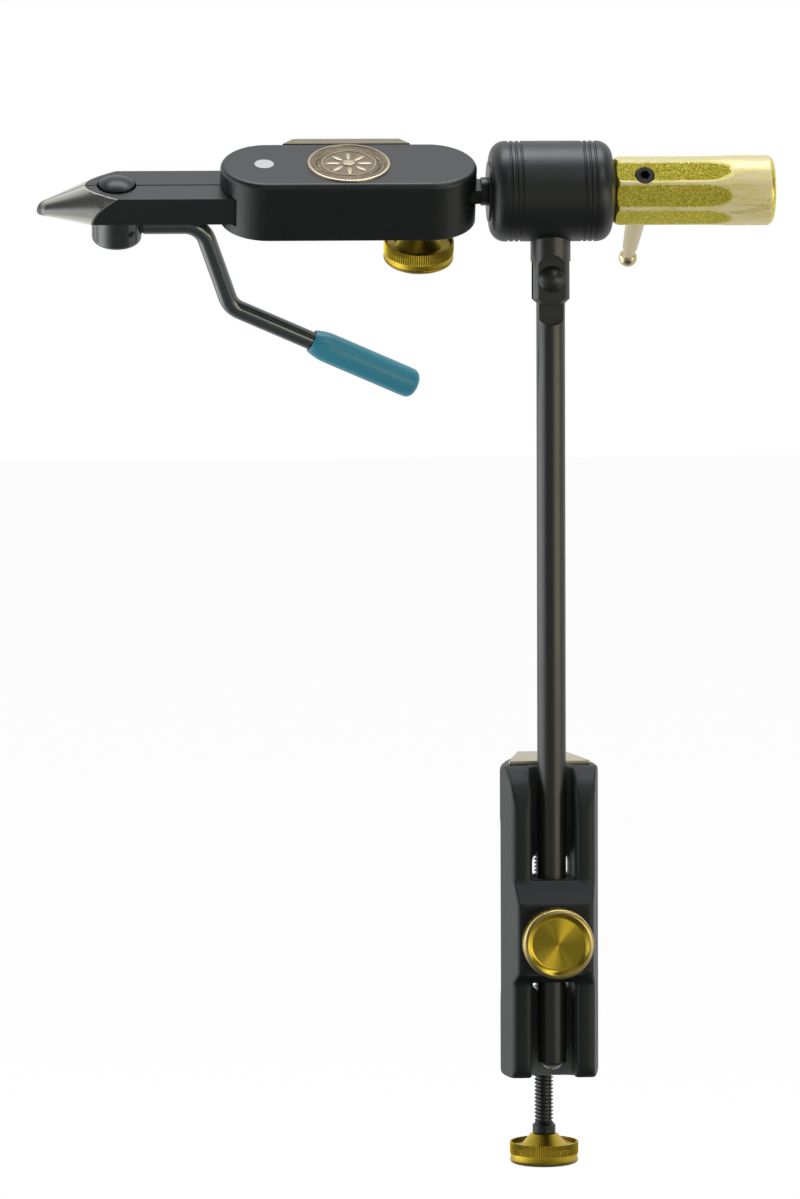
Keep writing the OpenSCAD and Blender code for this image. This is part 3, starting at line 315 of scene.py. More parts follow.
# clamp screw and pad
# A 1/4 in steel screw with 20 threads to the inch, cut on a lathe, and a turned pad that
# swivels on its tip. Black oxide leaves both dark with a soft, patchy gloss.
SCREW_R = 0.003175
THREAD_PITCH = 0.00127
THREAD_DEPTH = 0.0006

oxide_steel, tree, surface, place = start_material("black_oxide_steel", "#141511", 0.0, 0.34)
patchy(tree, surface, place, 3.85, 5.0, 0.28, 0.46)
grained(tree, surface, place, 0.385, 2.0, 0.12, 0.00003)


def node_tree(name, inputs):
    """A Geometry Nodes tree with named inputs; gives the tree, its input and its output."""
    tree = bpy.data.node_groups.new(name, "GeometryNodeTree")
    tree.interface.new_socket("Geometry", in_out="INPUT", socket_type="NodeSocketGeometry")
    for label, kind in inputs:
        tree.interface.new_socket(label, in_out="INPUT", socket_type=kind)
    tree.interface.new_socket("Geometry", in_out="OUTPUT", socket_type="NodeSocketGeometry")
    return tree, tree.nodes.new("NodeGroupInput"), tree.nodes.new("NodeGroupOutput")


def finish_tree(tree, given, result, parts):
    """Joins grown parts with the blank, makes them real and coats them."""
    joined = add_node(tree, "GeometryNodeJoinGeometry")
    for part in parts + [given.outputs["Geometry"]]:
        tree.links.new(part, joined.inputs[0])
    real = add_node(tree, "GeometryNodeRealizeInstances", None,
                    {"Geometry": joined.outputs["Geometry"]})
    coated = add_node(tree, "GeometryNodeSetMaterial", None,
                      {"Geometry": real.outputs["Geometry"], "Material": given.outputs["Material"]})
    tree.links.new(coated.outputs["Geometry"], result.inputs[0])


def grow(name, mesh, tree, values):
    """Runs a tree on a mesh with its inputs set by identifier; gives the plain mesh."""
    thing = bpy.data.objects.new(name, mesh)
    scene.collection.objects.link(thing)
    modifier = thing.modifiers.new("pattern", "NODES")
    modifier.node_group = tree
    for item in tree.interface.items_tree:
        if item.in_out == "INPUT" and item.name in values:
            modifier[item.identifier] = values[item.name]
    return evaluated(thing)


def turned(outline, steps=96):
    """A lathe-turned mesh about Z from (radius, height) points, closed on the axis."""
    mesh = bpy.data.meshes.new("turned")
    verts, faces, rings = [], [], []
    for r, z in outline:
        if r < 1e-7:
            rings.append([len(verts)])
            verts.append((0, 0, z))
        else:
            rings.append(list(range(len(verts), len(verts) + steps)))
            verts += [(r * cos(2 * pi * i / steps), r * sin(2 * pi * i / steps), z)
                      for i in range(steps)]
    for a, b in zip(rings, rings[1:]):
        for i in range(steps):
            j = (i + 1) % steps
            if len(a) == 1 and len(b) > 1:
                faces.append((a[0], b[j], b[i]))
            elif len(b) == 1 and len(a) > 1:
                faces.append((a[i], a[j], b[0]))
            elif len(a) > 1:
                faces.append((a[i], a[j], b[j], b[i]))
    mesh.from_pydata(verts, [], faces)
    bm = bmesh.new()
    bm.from_mesh(mesh)
    bmesh.ops.recalc_face_normals(bm, faces=bm.faces)
    bm.to_mesh(mesh)
    bm.free()
    return mesh


# The thread: a helix that carries a trapezoid ridge round the core.
thread_tree, given, result = node_tree("cut_thread", [
    ("Turns", "NodeSocketFloat"), ("Pitch", "NodeSocketFloat"),
    ("Core Radius", "NodeSocketFloat"), ("Depth", "NodeSocketFloat"),
    ("Material", "NodeSocketMaterial")])
height = add_node(thread_tree, "ShaderNodeMath", {"operation": "MULTIPLY"},
                  {0: given.outputs["Turns"], 1: given.outputs["Pitch"]})
helix = add_node(thread_tree, "GeometryNodeCurveSpiral", {"Resolution": 28},
                 {"Rotations": given.outputs["Turns"], "Start Radius": given.outputs["Core Radius"],
                  "End Radius": given.outputs["Core Radius"], "Height": height.outputs[0]})
upright = add_node(thread_tree, "GeometryNodeSetCurveNormal", {"mode": "Z_UP"},
                   {"Curve": helix.outputs["Curve"]})
ridge = add_node(thread_tree, "GeometryNodeCurvePrimitiveQuadrilateral",
                 {"mode": "TRAPEZOID", "Offset": 0.0})
double_depth = add_node(thread_tree, "ShaderNodeMath", {"operation": "MULTIPLY", 1: 2.0},
                        {0: given.outputs["Depth"]})
for socket, share in (("Bottom Width", 0.78), ("Top Width", 0.2)):
    width = add_node(thread_tree, "ShaderNodeMath", {"operation": "MULTIPLY", 1: share},
                     {0: given.outputs["Pitch"]})
    thread_tree.links.new(width.outputs[0], ridge.inputs[socket])
thread_tree.links.new(double_depth.outputs[0], ridge.inputs["Height"])
turn_ridge = add_node(thread_tree, "GeometryNodeTransform", {"Rotation": (0, 0, radians(90))},
                      {"Geometry": ridge.outputs["Curve"]})
swept = add_node(thread_tree, "GeometryNodeCurveToMesh", {"Fill Caps": True},
                 {"Curve": upright.outputs["Curve"], "Profile Curve": turn_ridge.outputs["Geometry"]})
finish_tree(thread_tree, given, result, [swept.outputs["Mesh"]])

screw_low, screw_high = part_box("clamp_screw")
SCREW_X = (screw_low[0] + screw_high[0]) / 2
SCREW_Y = (screw_low[1] + screw_high[1]) / 2
COLLAR_R = (screw_high[0] - screw_low[0]) / 2
COLLAR_H = 0.0037
SOCKET_DEPTH = 0.008
CORE_R = SCREW_R - THREAD_DEPTH
collar_base = screw_low[2] + SOCKET_DEPTH
screw_len = screw_high[2] - collar_base - COLLAR_H
core = turned([
    (0, -SOCKET_DEPTH - COLLAR_H), (SCREW_R - 0.00002, -SOCKET_DEPTH - COLLAR_H),
    (SCREW_R - 0.00002, -COLLAR_H), (COLLAR_R - 0.0003, -COLLAR_H), (COLLAR_R, -COLLAR_H + 0.0003),
    (COLLAR_R, -0.0009), (COLLAR_R - 0.0009, 0), (CORE_R, 0.0008),
    (CORE_R, screw_len - 0.0006), (CORE_R - 0.0006, screw_len), (0, screw_len)], 48)
turns = (screw_len - 0.004) / THREAD_PITCH
threaded = grow("clamp_screw_blank", core, thread_tree, {
    "Turns": turns, "Pitch": THREAD_PITCH, "Core Radius": CORE_R, "Depth": THREAD_DEPTH,
    "Material": oxide_steel})
for v in threaded.vertices:
    v.co.z = max(v.co.z, -SOCKET_DEPTH - COLLAR_H)
threaded.transform(Matrix.Translation((SCREW_X, SCREW_Y, collar_base + COLLAR_H)))
clamp_thread = settle("clamp_screw_threaded", threaded, "clamp_screw_unit", oxide_steel,
                      ["clamp_screw"], sharp=30)
eased("swivel_pad_turned", "swivel_pad", 0.0002, oxide_steel)

# the knobs
# Three knobs turned from one brass bar: a dished face that shows the tool's rings as a
# bow-tie sheen, a straight-knurled rim and a cone down to the screw.
KNOB_R = 0.0116
RIM_H = 0.006
LAND_R = 0.0102
DISH_R = 0.0089
DISH = 0.0010
CONE_H = 0.004
CONE_R = 0.0077
NECK_R = 0.0045
KNURL_COUNT = 96
KNURL_DEPTH = 0.0003

knurl_tree, given, result = node_tree("knurled_rim", [
    ("Count", "NodeSocketInt"), ("Radius", "NodeSocketFloat"), ("Height", "NodeSocketFloat"),
    ("Base", "NodeSocketFloat"), ("Ridge", "NodeSocketFloat"), ("Material", "NodeSocketMaterial")])
circle = add_node(knurl_tree, "GeometryNodeMeshCircle", None,
                  {"Vertices": given.outputs["Count"], "Radius": given.outputs["Radius"]})
lift = add_node(knurl_tree, "ShaderNodeCombineXYZ", None, {"Z": given.outputs["Base"]})
raised = add_node(knurl_tree, "GeometryNodeSetPosition", None,
                  {"Geometry": circle.outputs["Mesh"], "Offset": lift.outputs[0]})
tooth = add_node(knurl_tree, "GeometryNodeMeshCone", {"Vertices": 4, "Fill Segments": 1},
                 {"Radius Top": given.outputs["Ridge"], "Radius Bottom": given.outputs["Ridge"],
                  "Depth": given.outputs["Height"]})
spot = add_node(knurl_tree, "GeometryNodeInputPosition").outputs[0]
flat = add_node(knurl_tree, "ShaderNodeVectorMath", {"operation": "MULTIPLY", 1: (1, 1, 0)},
                {0: spot})
facing = add_node(knurl_tree, "FunctionNodeAlignRotationToVector", {"axis": "X", "pivot_axis": "Z"},
                  {"Vector": flat.outputs[0]})
teeth = add_node(knurl_tree, "GeometryNodeInstanceOnPoints", None,
                 {"Points": raised.outputs["Geometry"], "Instance": tooth.outputs["Mesh"],
                  "Rotation": facing.outputs[0]})
finish_tree(knurl_tree, given, result, [teeth.outputs[0]])


def turned_brass(name, colour, roughness, centre, axis, rings=0.00022):
    """Turned brass: rings round an axis of the piece give a sheen that fans out from it."""
    material, tree, surface, place = start_material(name, colour, 1.0, roughness,
                                                    Anisotropic=0.95)
    arm = add_node(tree, "ShaderNodeVectorMath", {"operation": "SUBTRACT", 1: centre}, {0: place})
    round_way = add_node(tree, "ShaderNodeVectorMath", {"operation": "CROSS_PRODUCT", 1: axis},
                         {0: arm.outputs[0]})
    radial = add_node(tree, "ShaderNodeVectorMath", {"operation": "CROSS_PRODUCT", 0: axis},
                      {1: round_way.outputs[0]})
    # The facing cut runs in a spiral, which turns the sheen a little round the axis.
    spiral = add_node(tree, "ShaderNodeVectorMath", {"operation": "SUBTRACT"},
                      {0: radial.outputs[0], 1: round_way.outputs[0]})
    tree.links.new(spiral.outputs[0], surface.inputs["Tangent"])
    reach = add_node(tree, "ShaderNodeVectorMath", {"operation": "LENGTH"},
                     {0: round_way.outputs[0]})
    depth = add_node(tree, "ShaderNodeVectorMath", {"operation": "DOT_PRODUCT", 1: axis},
                     {0: arm.outputs[0]})
    ring_place = add_node(tree, "ShaderNodeCombineXYZ", None,
                          {0: reach.outputs["Value"], 1: depth.outputs["Value"]})
    ring = add_node(tree, "ShaderNodeTexNoise", {"Scale": 1 / rings, "Detail": 4.0,
                                                 "Roughness": 0.7},
                    {"Vector": ring_place.outputs[0]})
    # The rounded front of the rim is painted pale cream: partly brass rubbed by fingers, partly a
    # painted highlight.
    outer = add_node(tree, "ShaderNodeMapRange", {"From Min": LAND_R - 0.0003,
                                                  "From Max": LAND_R + 0.0003},
                     {"Value": reach.outputs["Value"]})
    front = add_node(tree, "ShaderNodeMapRange", {"From Min": 0.0013, "From Max": 0.0008},
                     {"Value": depth.outputs["Value"]})
    wear_and_painted_highlight = add_node(tree, "ShaderNodeMath", {"operation": "MULTIPLY"},
                   {0: outer.outputs["Result"], 1: front.outputs["Result"]})
    pale = add_node(tree, "ShaderNodeMix", {"data_type": "RGBA", 6: linear(colour),
                                            7: linear("#BBA76C")}, {0: wear_and_painted_highlight.outputs[0]})
    tree.links.new(pale.outputs[2], surface.inputs["Base Color"])
    groove = add_node(tree, "ShaderNodeBump", {"Strength": 0.22, "Distance": 0.00003},
                      {"Height": ring.outputs["Fac"]})
    tree.links.new(groove.outputs["Normal"], surface.inputs["Normal"])
    patchy(tree, surface, place, 6.67, 6.0, roughness - 0.02, roughness + 0.03,
           **{"From Min": 0.35, "From Max": 0.65})
    return material


def knob(name, node, place, axis, neck, screw_r):
    """One brass knob, face down at its own origin, set on its screw."""
    rounded = [(KNOB_R - 0.0014 * (1 - cos(radians(15 * i))) if i else KNOB_R,
                0.0012 * (1 - sin(radians(15 * i)))) for i in range(6, -1, -1)]
    mesh = turned([
        (0, DISH), (0.0004, DISH), (DISH_R - 0.0006, DISH), (DISH_R - 0.0002, DISH),
        (DISH_R, DISH - 0.0001),
        (DISH_R + 0.0007, 0.0005), (LAND_R - 0.0001, 0.0001), (LAND_R + 0.0001, 0)] + rounded + [
        (KNOB_R - 0.0003, 0.0013), (KNOB_R - 0.0003, RIM_H - 0.0007), (KNOB_R - 0.00035, RIM_H - 0.0004),
        (KNOB_R - 0.0006, RIM_H - 0.0001), (KNOB_R - 0.0010, RIM_H), (CONE_R + 0.0003, RIM_H),
        (CONE_R, RIM_H + 0.0002), (NECK_R, RIM_H + CONE_H - 0.0001)] + (
        [(NECK_R, RIM_H + CONE_H + neck - 0.0004),
         (NECK_R - 0.0004, RIM_H + CONE_H + neck)] if neck else
        [(NECK_R - 0.0003, RIM_H + CONE_H)]) + [
        (screw_r + 0.0001, RIM_H + CONE_H + neck), (screw_r, RIM_H + CONE_H + neck - 0.001),
        (0, RIM_H + CONE_H + neck - 0.001)], 144)
    centre = place @ Vector((0, 0, 0))
    brass = turned_brass(name + "_turned_brass", "#BFA636", 0.30, tuple(centre), axis)
    mesh = grow(name + "_blank", mesh, knurl_tree, {
        "Count": KNURL_COUNT, "Radius": KNOB_R - 0.00036, "Height": RIM_H - 0.0021,
        "Base": RIM_H / 2 + 0.0003, "Ridge": 0.00036, "Material": brass})
    mesh.transform(place)
    piece = settle(name, mesh, nodes[node]["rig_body"], brass, [node], sharp=30)
    return piece


low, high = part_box("clamp_knob")
knob("clamp_knob_turned", "clamp_knob", Matrix.Translation((SCREW_X, SCREW_Y, low[2])),
     (0, 0, 1), 0, SCREW_R)
low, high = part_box("stem_lock_knob")
LOCK_Z = (low[2] + high[2]) / 2
knob("stem_lock_knob_turned", "stem_lock_knob",
     Matrix.Translation((0, low[1], LOCK_Z)) @ Matrix.Rotation(radians(-90), 4, "X"),
     (0, 1, 0), 0, SCREW_R)

# The head is rolled about the rotary axis; its own frame is used from here on.
HEAD_ROLL = radians(26.6)
AXIS_Y = -0.025
low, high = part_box("rotary_handle")
AXIS_Z = (low[2] + high[2]) / 2
HEAD_PLACE = Matrix.Translation((0, AXIS_Y, AXIS_Z)) @ Matrix.Rotation(HEAD_ROLL, 4, "X")
HEAD_UP = tuple((HEAD_PLACE.to_3x3() @ Vector((0, 0, 1))))
LOCK_X = -0.0428
HEAD_HALF = 0.01025
FACE_GAP = 0.00005
WASHER_T = 0.0006
LOCK_NECK = 0.0041
knob_face = -HEAD_HALF - FACE_GAP - WASHER_T - LOCK_NECK - CONE_H - RIM_H
knob("head_lock_knob_turned", "head_lock_knob",
     HEAD_PLACE @ Matrix.Translation((LOCK_X, 0, knob_face)), HEAD_UP, LOCK_NECK, 0.003)

# stem
# A ground 3/8 in steel rod, milled to a flat tang at the top and slid into the clamp's
# channel. Its satin black oxide skin shows long soft streaks of light.
stem_oxide, tree, surface, place = start_material("satin_black_oxide_rod", "#14150F", 0.0, 0.30,
                                                  Specular_IOR_Level=0.6)
stretch = add_node(tree, "ShaderNodeMapping", {"Scale": (1, 1, 6.4)}, {"Vector": place})
grained(tree, surface, stretch.outputs["Vector"], 2.0, 3.0, 0.12, 0.00003)
patchy(tree, surface, place, 11.1, 5.0, 0.27, 0.42)
eased("stem_ground", "stem_rod", 0.00022, stem_oxide)

# knuckle, pivot screw and nut
# A turned steel knuckle, slotted for the stem's tang and milled flat front and back; a
# screw and its nut hold it on the tang. All are black oxide, as the stem is.
eased("knuckle_milled", "fork", 0.00022, stem_oxide)
coat(oxide_steel, "pivot_screw", "pivot_nut", "stem_lock_screw")

# barrel
# Anodised aluminium: turned, blasted to a soft satin and dyed black, with three fine
# grooves at each end that catch the light.
black_anodise, tree, surface, place = start_material("black_anodised_aluminium", "#080F0E",
                                                     0.0, 0.40)
grained(tree, surface, place, 0.3125, 2.0, 0.10, 0.00003)
patchy(tree, surface, place, 8.33, 4.0, 0.36, 0.48)
coat(black_anodise, "barrel")

# spindle and bushings
# The spindle is turned steel in black oxide and runs in two pressed-in flanged bushings of
# sintered bronze, which is dull and full of fine pores.
sintered, tree, surface, place = start_material("sintered_bronze", "#8E7B52", 1.0, 0.48)
pores = add_node(tree, "ShaderNodeTexVoronoi", {"Scale": 1000 / 0.455}, {"Vector": place})
pored = add_node(tree, "ShaderNodeBump", {"Strength": 0.25, "Distance": 0.00003},
                 {"Height": pores.outputs["Distance"]})
tree.links.new(pored.outputs["Normal"], surface.inputs["Normal"])
coat(sintered, "rear_bushing")
# The front one shows only its edge, which is as dark as the spindle.
coat(oxide_steel, "front_bushing")
eased("spindle_tang", "spindle", 0.0002, oxide_steel)

# Milky white nylon: the washer behind the handle and the plug that presses on the stem.
nylon, tree, surface, place = start_material("white_nylon", "#E4E0D2", 0.0, 0.5,
                                             Subsurface_Weight=0.1)
coat(nylon, "friction_washer", "stem_lock_tip")

# rotary handle
# Brass bar with eight milled flats that run out in long points, tumbled to a bright grain.
# Tumbling leaves the flats with an olive grain; the round parts are painted pale cream, partly burnished
# brass and partly a painted highlight.
HANDLE_R = 0.0115
tumbled, tree, surface, place = start_material("tumbled_brass", "#D6C64C", 1.0, 0.26)
speck = grained(tree, surface, place, 0.714, 5.0, 0.2, 0.00003, Roughness=0.75)
flat_place = add_node(tree, "ShaderNodeVectorMath", {"operation": "MULTIPLY", 1: (0, 1, 1)},
                      {0: place})
from_axis = add_node(tree, "ShaderNodeVectorMath", {"operation": "DISTANCE",
                                                    1: (0, AXIS_Y, AXIS_Z)},
                     {0: flat_place.outputs[0]})
grainy = add_node(tree, "ShaderNodeMath", {"operation": "MULTIPLY_ADD", 1: 0.0003},
                  {0: speck.outputs["Fac"], 2: from_axis.outputs["Value"]})
# The pale round parts: partly burnished brass, partly a painted highlight.
round_parts_wear_and_highlight = add_node(tree, "ShaderNodeMapRange", {"From Min": HANDLE_R - 0.00016,
                                               "From Max": HANDLE_R + 0.00006},
                  {"Value": grainy.outputs[0]})
stretch = add_node(tree, "ShaderNodeMapping", {"Scale": (1, 8.67, 8.67)}, {"Vector": place})
streaks = add_node(tree, "ShaderNodeTexNoise",
                   {"Scale": 1000 / 16.7, "Detail": 4.0, "Roughness": 0.7},
                   {"Vector": stretch.outputs["Vector"]})
streaky = add_node(tree, "ShaderNodeMapRange", {"From Min": 0.42, "From Max": 0.54,
                                                "To Min": 0.6, "To Max": 1.0},
                   {"Value": streaks.outputs["Fac"]})
wear_and_painted_highlight = add_node(tree, "ShaderNodeMath", {"operation": "MULTIPLY"},
               {0: round_parts_wear_and_highlight.outputs["Result"], 1: streaky.outputs["Result"]})
flecks = add_node(tree, "ShaderNodeMapRange", {"From Min": 0.36, "From Max": 0.64},
                  {"Value": speck.outputs["Fac"]})
tone = add_node(tree, "ShaderNodeMix", {"data_type": "RGBA", 6: linear("#AD9B10"),
                                        7: linear("#F0E468")}, {0: flecks.outputs["Result"]})
wear_and_highlight_tone = add_node(tree, "ShaderNodeMix", {"data_type": "RGBA", 7: linear("#C2B68C")},
                     {0: wear_and_painted_highlight.outputs[0], 6: tone.outputs[2]})
tree.links.new(wear_and_highlight_tone.outputs[2], surface.inputs["Base Color"])
for socket, flats, rounds in (("Metallic", 0.9, 0.15), ("Roughness", 0.19, 0.45)):
    blend = add_node(tree, "ShaderNodeMapRange", {"To Min": flats, "To Max": rounds},
                     {"Value": wear_and_painted_highlight.outputs[0]})
    tree.links.new(blend.outputs["Result"], surface.inputs[socket])
eased("handle_milled", "rotary_handle", 0.00018, tumbled, sharp=12)

# The spin lever, turned brass with a ball end, screwed into the handle and polished; its pale colour is
# a painted highlight.
pale, tree, surface, place = start_material("polished_brass_painted_pale", "#C4B893", 1.0, 0.26)
grained(tree, surface, place, 1.11, 3.0, 0.12, 0.00003)
coat(pale, "spin_lever")

# The set screw, black oxide with a hexagon socket.
coat(oxide_steel, "handle_set_screw")

# head block
# Milled from aluminium bar with round ends, edges broken, blasted and anodised black, as
# the barrel is. It swivels on the spindle's tang and holds the jaws on their pin.
eased("head_milled", "head_block", 0.00025, black_anodise)

# The jaw pivot pin: ground steel, bright on the block's top face.
bright, tree, surface, place = start_material("ground_bright_steel", "#C9CACC", 1.0, 0.24)
grained(tree, surface, place, 0.417, 3.0, 0.15, 0.00002)
coat(bright, "jaw_pin", "stem_end_cap", "lever_fulcrum", "spring_guide", "head_lock_stud")

# The dished springs are drawn pressed flat, so that the jaws' tails have room when open.
SPRING_PRESS = 0.6
pressed = plain_copy("disc_springs")
pressed.transform(HEAD_PLACE @ Matrix.Diagonal((1, SPRING_PRESS, 1, 1)) @ HEAD_PLACE.inverted())
springs = settle("disc_springs_pressed", pressed, nodes["disc_springs"]["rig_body"], bright,
                 ["disc_springs"], sharp=30)

# Brass side plate and its two black screws, and the head lock's washer.
# The side plate takes the top plate's rolled brass in a darker tone: a painted shade.
eased("side_plate_milled", "side_plate", 0.0003,
      rolled_brass("shaded_brass_plate", "#7A7462"))
coat(oxide_steel, "side_plate_screws", "head_lock_washer")

# medallion
# A struck bronze disc in a shallow seat, antiqued so that the recesses are dark: a plain
# beaded border, a band of rays and an eight-petal rosette of no particular make.
MEDAL_X = -0.0665
MEDAL_R = 0.01365
MEDAL_SEAT = 0.0012
MEDAL_T = 0.0018
MEDAL_TOP = HEAD_HALF - MEDAL_SEAT + MEDAL_T

struck_bronze, tree, surface, place = start_material("antiqued_struck_bronze", "#8E8068", 1.0,
                                                     0.38)
up = add_node(tree, "ShaderNodeVectorMath", {"operation": "DOT_PRODUCT", 1: HEAD_UP},
              {0: place})
field_level = (HEAD_PLACE @ Vector((MEDAL_X, 0, MEDAL_TOP))).dot(Vector(HEAD_UP))
relief = add_node(tree, "ShaderNodeMapRange", {"From Min": field_level - 0.00042,
                                               "From Max": field_level - 0.00008},
                  {"Value": up.outputs["Value"]})
grime = grained(tree, surface, place, 1.43, 5.0, 0.3, 0.00004)
mottled = add_node(tree, "ShaderNodeMath", {"operation": "MULTIPLY_ADD", 1: 0.5},
                   {0: grime.outputs["Fac"], 2: relief.outputs["Result"]})
worn = add_node(tree, "ShaderNodeMix", {"data_type": "RGBA", 6: linear("#4B4133"),
                                        7: linear("#A99D86")}, {0: mottled.outputs[0]})
tree.links.new(worn.outputs[2], surface.inputs["Base Color"])

medal_tree, given, result = node_tree("struck_pattern", [
    ("Beads", "NodeSocketInt"), ("Bead Circle", "NodeSocketFloat"),
    ("Bead Radius", "NodeSocketFloat"), ("Rays", "NodeSocketInt"),
    ("Ray Circle", "NodeSocketFloat"), ("Ray Length", "NodeSocketFloat"),
    ("Petals", "NodeSocketInt"), ("Petal Circle", "NodeSocketFloat"),
    ("Petal Length", "NodeSocketFloat"), ("Level", "NodeSocketFloat"),
    ("Material", "NodeSocketMaterial")])
level = add_node(medal_tree, "ShaderNodeCombineXYZ", None, {"Z": given.outputs["Level"]})
spot = add_node(medal_tree, "GeometryNodeInputPosition").outputs[0]
flat = add_node(medal_tree, "ShaderNodeVectorMath", {"operation": "MULTIPLY", 1: (1, 1, 0)},
                {0: spot})
outward = add_node(medal_tree, "FunctionNodeAlignRotationToVector",
                   {"axis": "X", "pivot_axis": "Z"}, {"Vector": flat.outputs[0]})
struck = []
bead = add_node(medal_tree, "GeometryNodeMeshUVSphere", {"Segments": 10, "Rings": 6},
                {"Radius": given.outputs["Bead Radius"]})
ray = add_node(medal_tree, "GeometryNodeMeshUVSphere", {"Segments": 8, "Rings": 6, "Radius": 0.5})
petal = add_node(medal_tree, "GeometryNodeMeshUVSphere", {"Segments": 16, "Rings": 10,
                                                          "Radius": 0.5})
for shape, count, radius, length, slim in (
        (bead, "Beads", "Bead Circle", None, None),
        (ray, "Rays", "Ray Circle", "Ray Length", 0.0003),
        (petal, "Petals", "Petal Circle", "Petal Length", 0.0018)):
    ring = add_node(medal_tree, "GeometryNodeMeshCircle", None,
                    {"Vertices": given.outputs[count], "Radius": given.outputs[radius]})
    raised = add_node(medal_tree, "GeometryNodeSetPosition", None,
                      {"Geometry": ring.outputs["Mesh"], "Offset": level.outputs[0]})
    placed = add_node(medal_tree, "GeometryNodeInstanceOnPoints", None,
                      {"Points": raised.outputs["Geometry"], "Instance": shape.outputs["Mesh"],
                       "Rotation": outward.outputs[0]})
    if length:
        size = add_node(medal_tree, "ShaderNodeCombineXYZ", {"Y": slim, "Z": 0.0005},
                        {"X": given.outputs[length]})
        medal_tree.links.new(size.outputs[0], placed.inputs["Scale"])
    struck.append(placed.outputs[0])
finish_tree(medal_tree, given, result, struck)

field = MEDAL_TOP - 0.0004
medal_base = MEDAL_TOP - MEDAL_T
step = 0.0001
blank = turned([
    (0, medal_base), (MEDAL_R - step, medal_base), (MEDAL_R, medal_base + step),
    (MEDAL_R, MEDAL_TOP - 0.0003), (MEDAL_R - 0.0003, MEDAL_TOP),
    (MEDAL_R - 0.0009, MEDAL_TOP), (MEDAL_R - 0.0012, field),
    (0.0090, field), (0.0089, field + 0.0002), (0.0086, field + 0.0002), (0.0085, field),
    (0.0022, field), (0.0020, field + 0.0003), (0.0008, field + 0.0004), (0, field + 0.0004)], 144)
blank = grow("medallion_blank", blank, medal_tree, {
    "Beads": 72, "Bead Circle": 0.0118, "Bead Radius": 0.00030, "Rays": 64,
    "Ray Circle": 0.0102, "Ray Length": 0.0017, "Petals": 8, "Petal Circle": 0.0052,
    "Petal Length": 0.0052, "Level": field + 0.00002, "Material": struck_bronze})
blank.transform(HEAD_PLACE @ Matrix.Translation((MEDAL_X, 0, 0)))
medal = settle("medallion_struck", blank, "head", struck_bronze, ["medallion"], sharp=50)

# jaws
# Tool steel, milled and blackened, then the nose ground to a cone: the cone is bare and
# bright, and shows the wheel's rings; the milled faces keep their black skin.
TIP_X = -0.1684
JAW_BOTTOM = -0.0065
NOSE_SLOPE = 0.44
TIP_R = 0.004

jaw_steel, tree, surface, place = start_material("blackened_tool_steel_with_ground_nose",
                                                 "#1E1F20", 1.0, 0.25)
to_head = HEAD_PLACE.inverted()
turn_back = add_node(tree, "ShaderNodeMapping", {"vector_type": "POINT",
                                                 "Location": tuple(to_head.to_translation()),
                                                 "Rotation": (-HEAD_ROLL, 0, 0)},
                     {"Vector": place})
nose = add_node(tree, "ShaderNodeVectorMath", {"operation": "SUBTRACT",
                                               1: (TIP_X, 0, JAW_BOTTOM)},
                {0: turn_back.outputs["Vector"]})
split = add_node(tree, "ShaderNodeSeparateXYZ", None, {"Vector": nose.outputs[0]})
across = add_node(tree, "ShaderNodeCombineXYZ", None, {"X": split.outputs["Y"],
                                                       "Y": split.outputs["Z"]})
away = add_node(tree, "ShaderNodeVectorMath", {"operation": "LENGTH"}, {0: across.outputs[0]})
tip_len = TIP_R * (sqrt(1 + NOSE_SLOPE ** 2) / NOSE_SLOPE - 1)
cone_r = add_node(tree, "ShaderNodeMath", {"operation": "MULTIPLY_ADD", 1: NOSE_SLOPE,
                                           2: NOSE_SLOPE * tip_len}, {0: split.outputs["X"]})
off_cone = add_node(tree, "ShaderNodeMath", {"operation": "SUBTRACT"},
                    {0: cone_r.outputs[0], 1: away.outputs["Value"]})
from_ball = add_node(tree, "ShaderNodeVectorMath", {"operation": "DISTANCE", 1: (TIP_R, 0, 0)},
                     {0: nose.outputs[0]})
off_ball = add_node(tree, "ShaderNodeMath", {"operation": "SUBTRACT", 0: TIP_R},
                    {1: from_ball.outputs["Value"]})
at_tip = add_node(tree, "ShaderNodeMath", {"operation": "LESS_THAN",
                                           1: TIP_R * (1 - NOSE_SLOPE / sqrt(1 + NOSE_SLOPE ** 2))},
                  {0: split.outputs["X"]})
off_nose = add_node(tree, "ShaderNodeMix", {"data_type": "FLOAT"},
                    {0: at_tip.outputs[0], 2: off_cone.outputs[0], 3: off_ball.outputs[0]})
wobble = add_node(tree, "ShaderNodeTexNoise", {"Scale": 1000 / 2, "Detail": 3.0},
                  {"Vector": place})
wobbled = add_node(tree, "ShaderNodeMath", {"operation": "MULTIPLY_ADD", 1: 0.0001},
                   {0: wobble.outputs["Fac"], 2: off_nose.outputs[0]})
ground = add_node(tree, "ShaderNodeMapRange", {"From Min": 0.00034, "From Max": 0.00022},
                  {"Value": wobbled.outputs[0]})
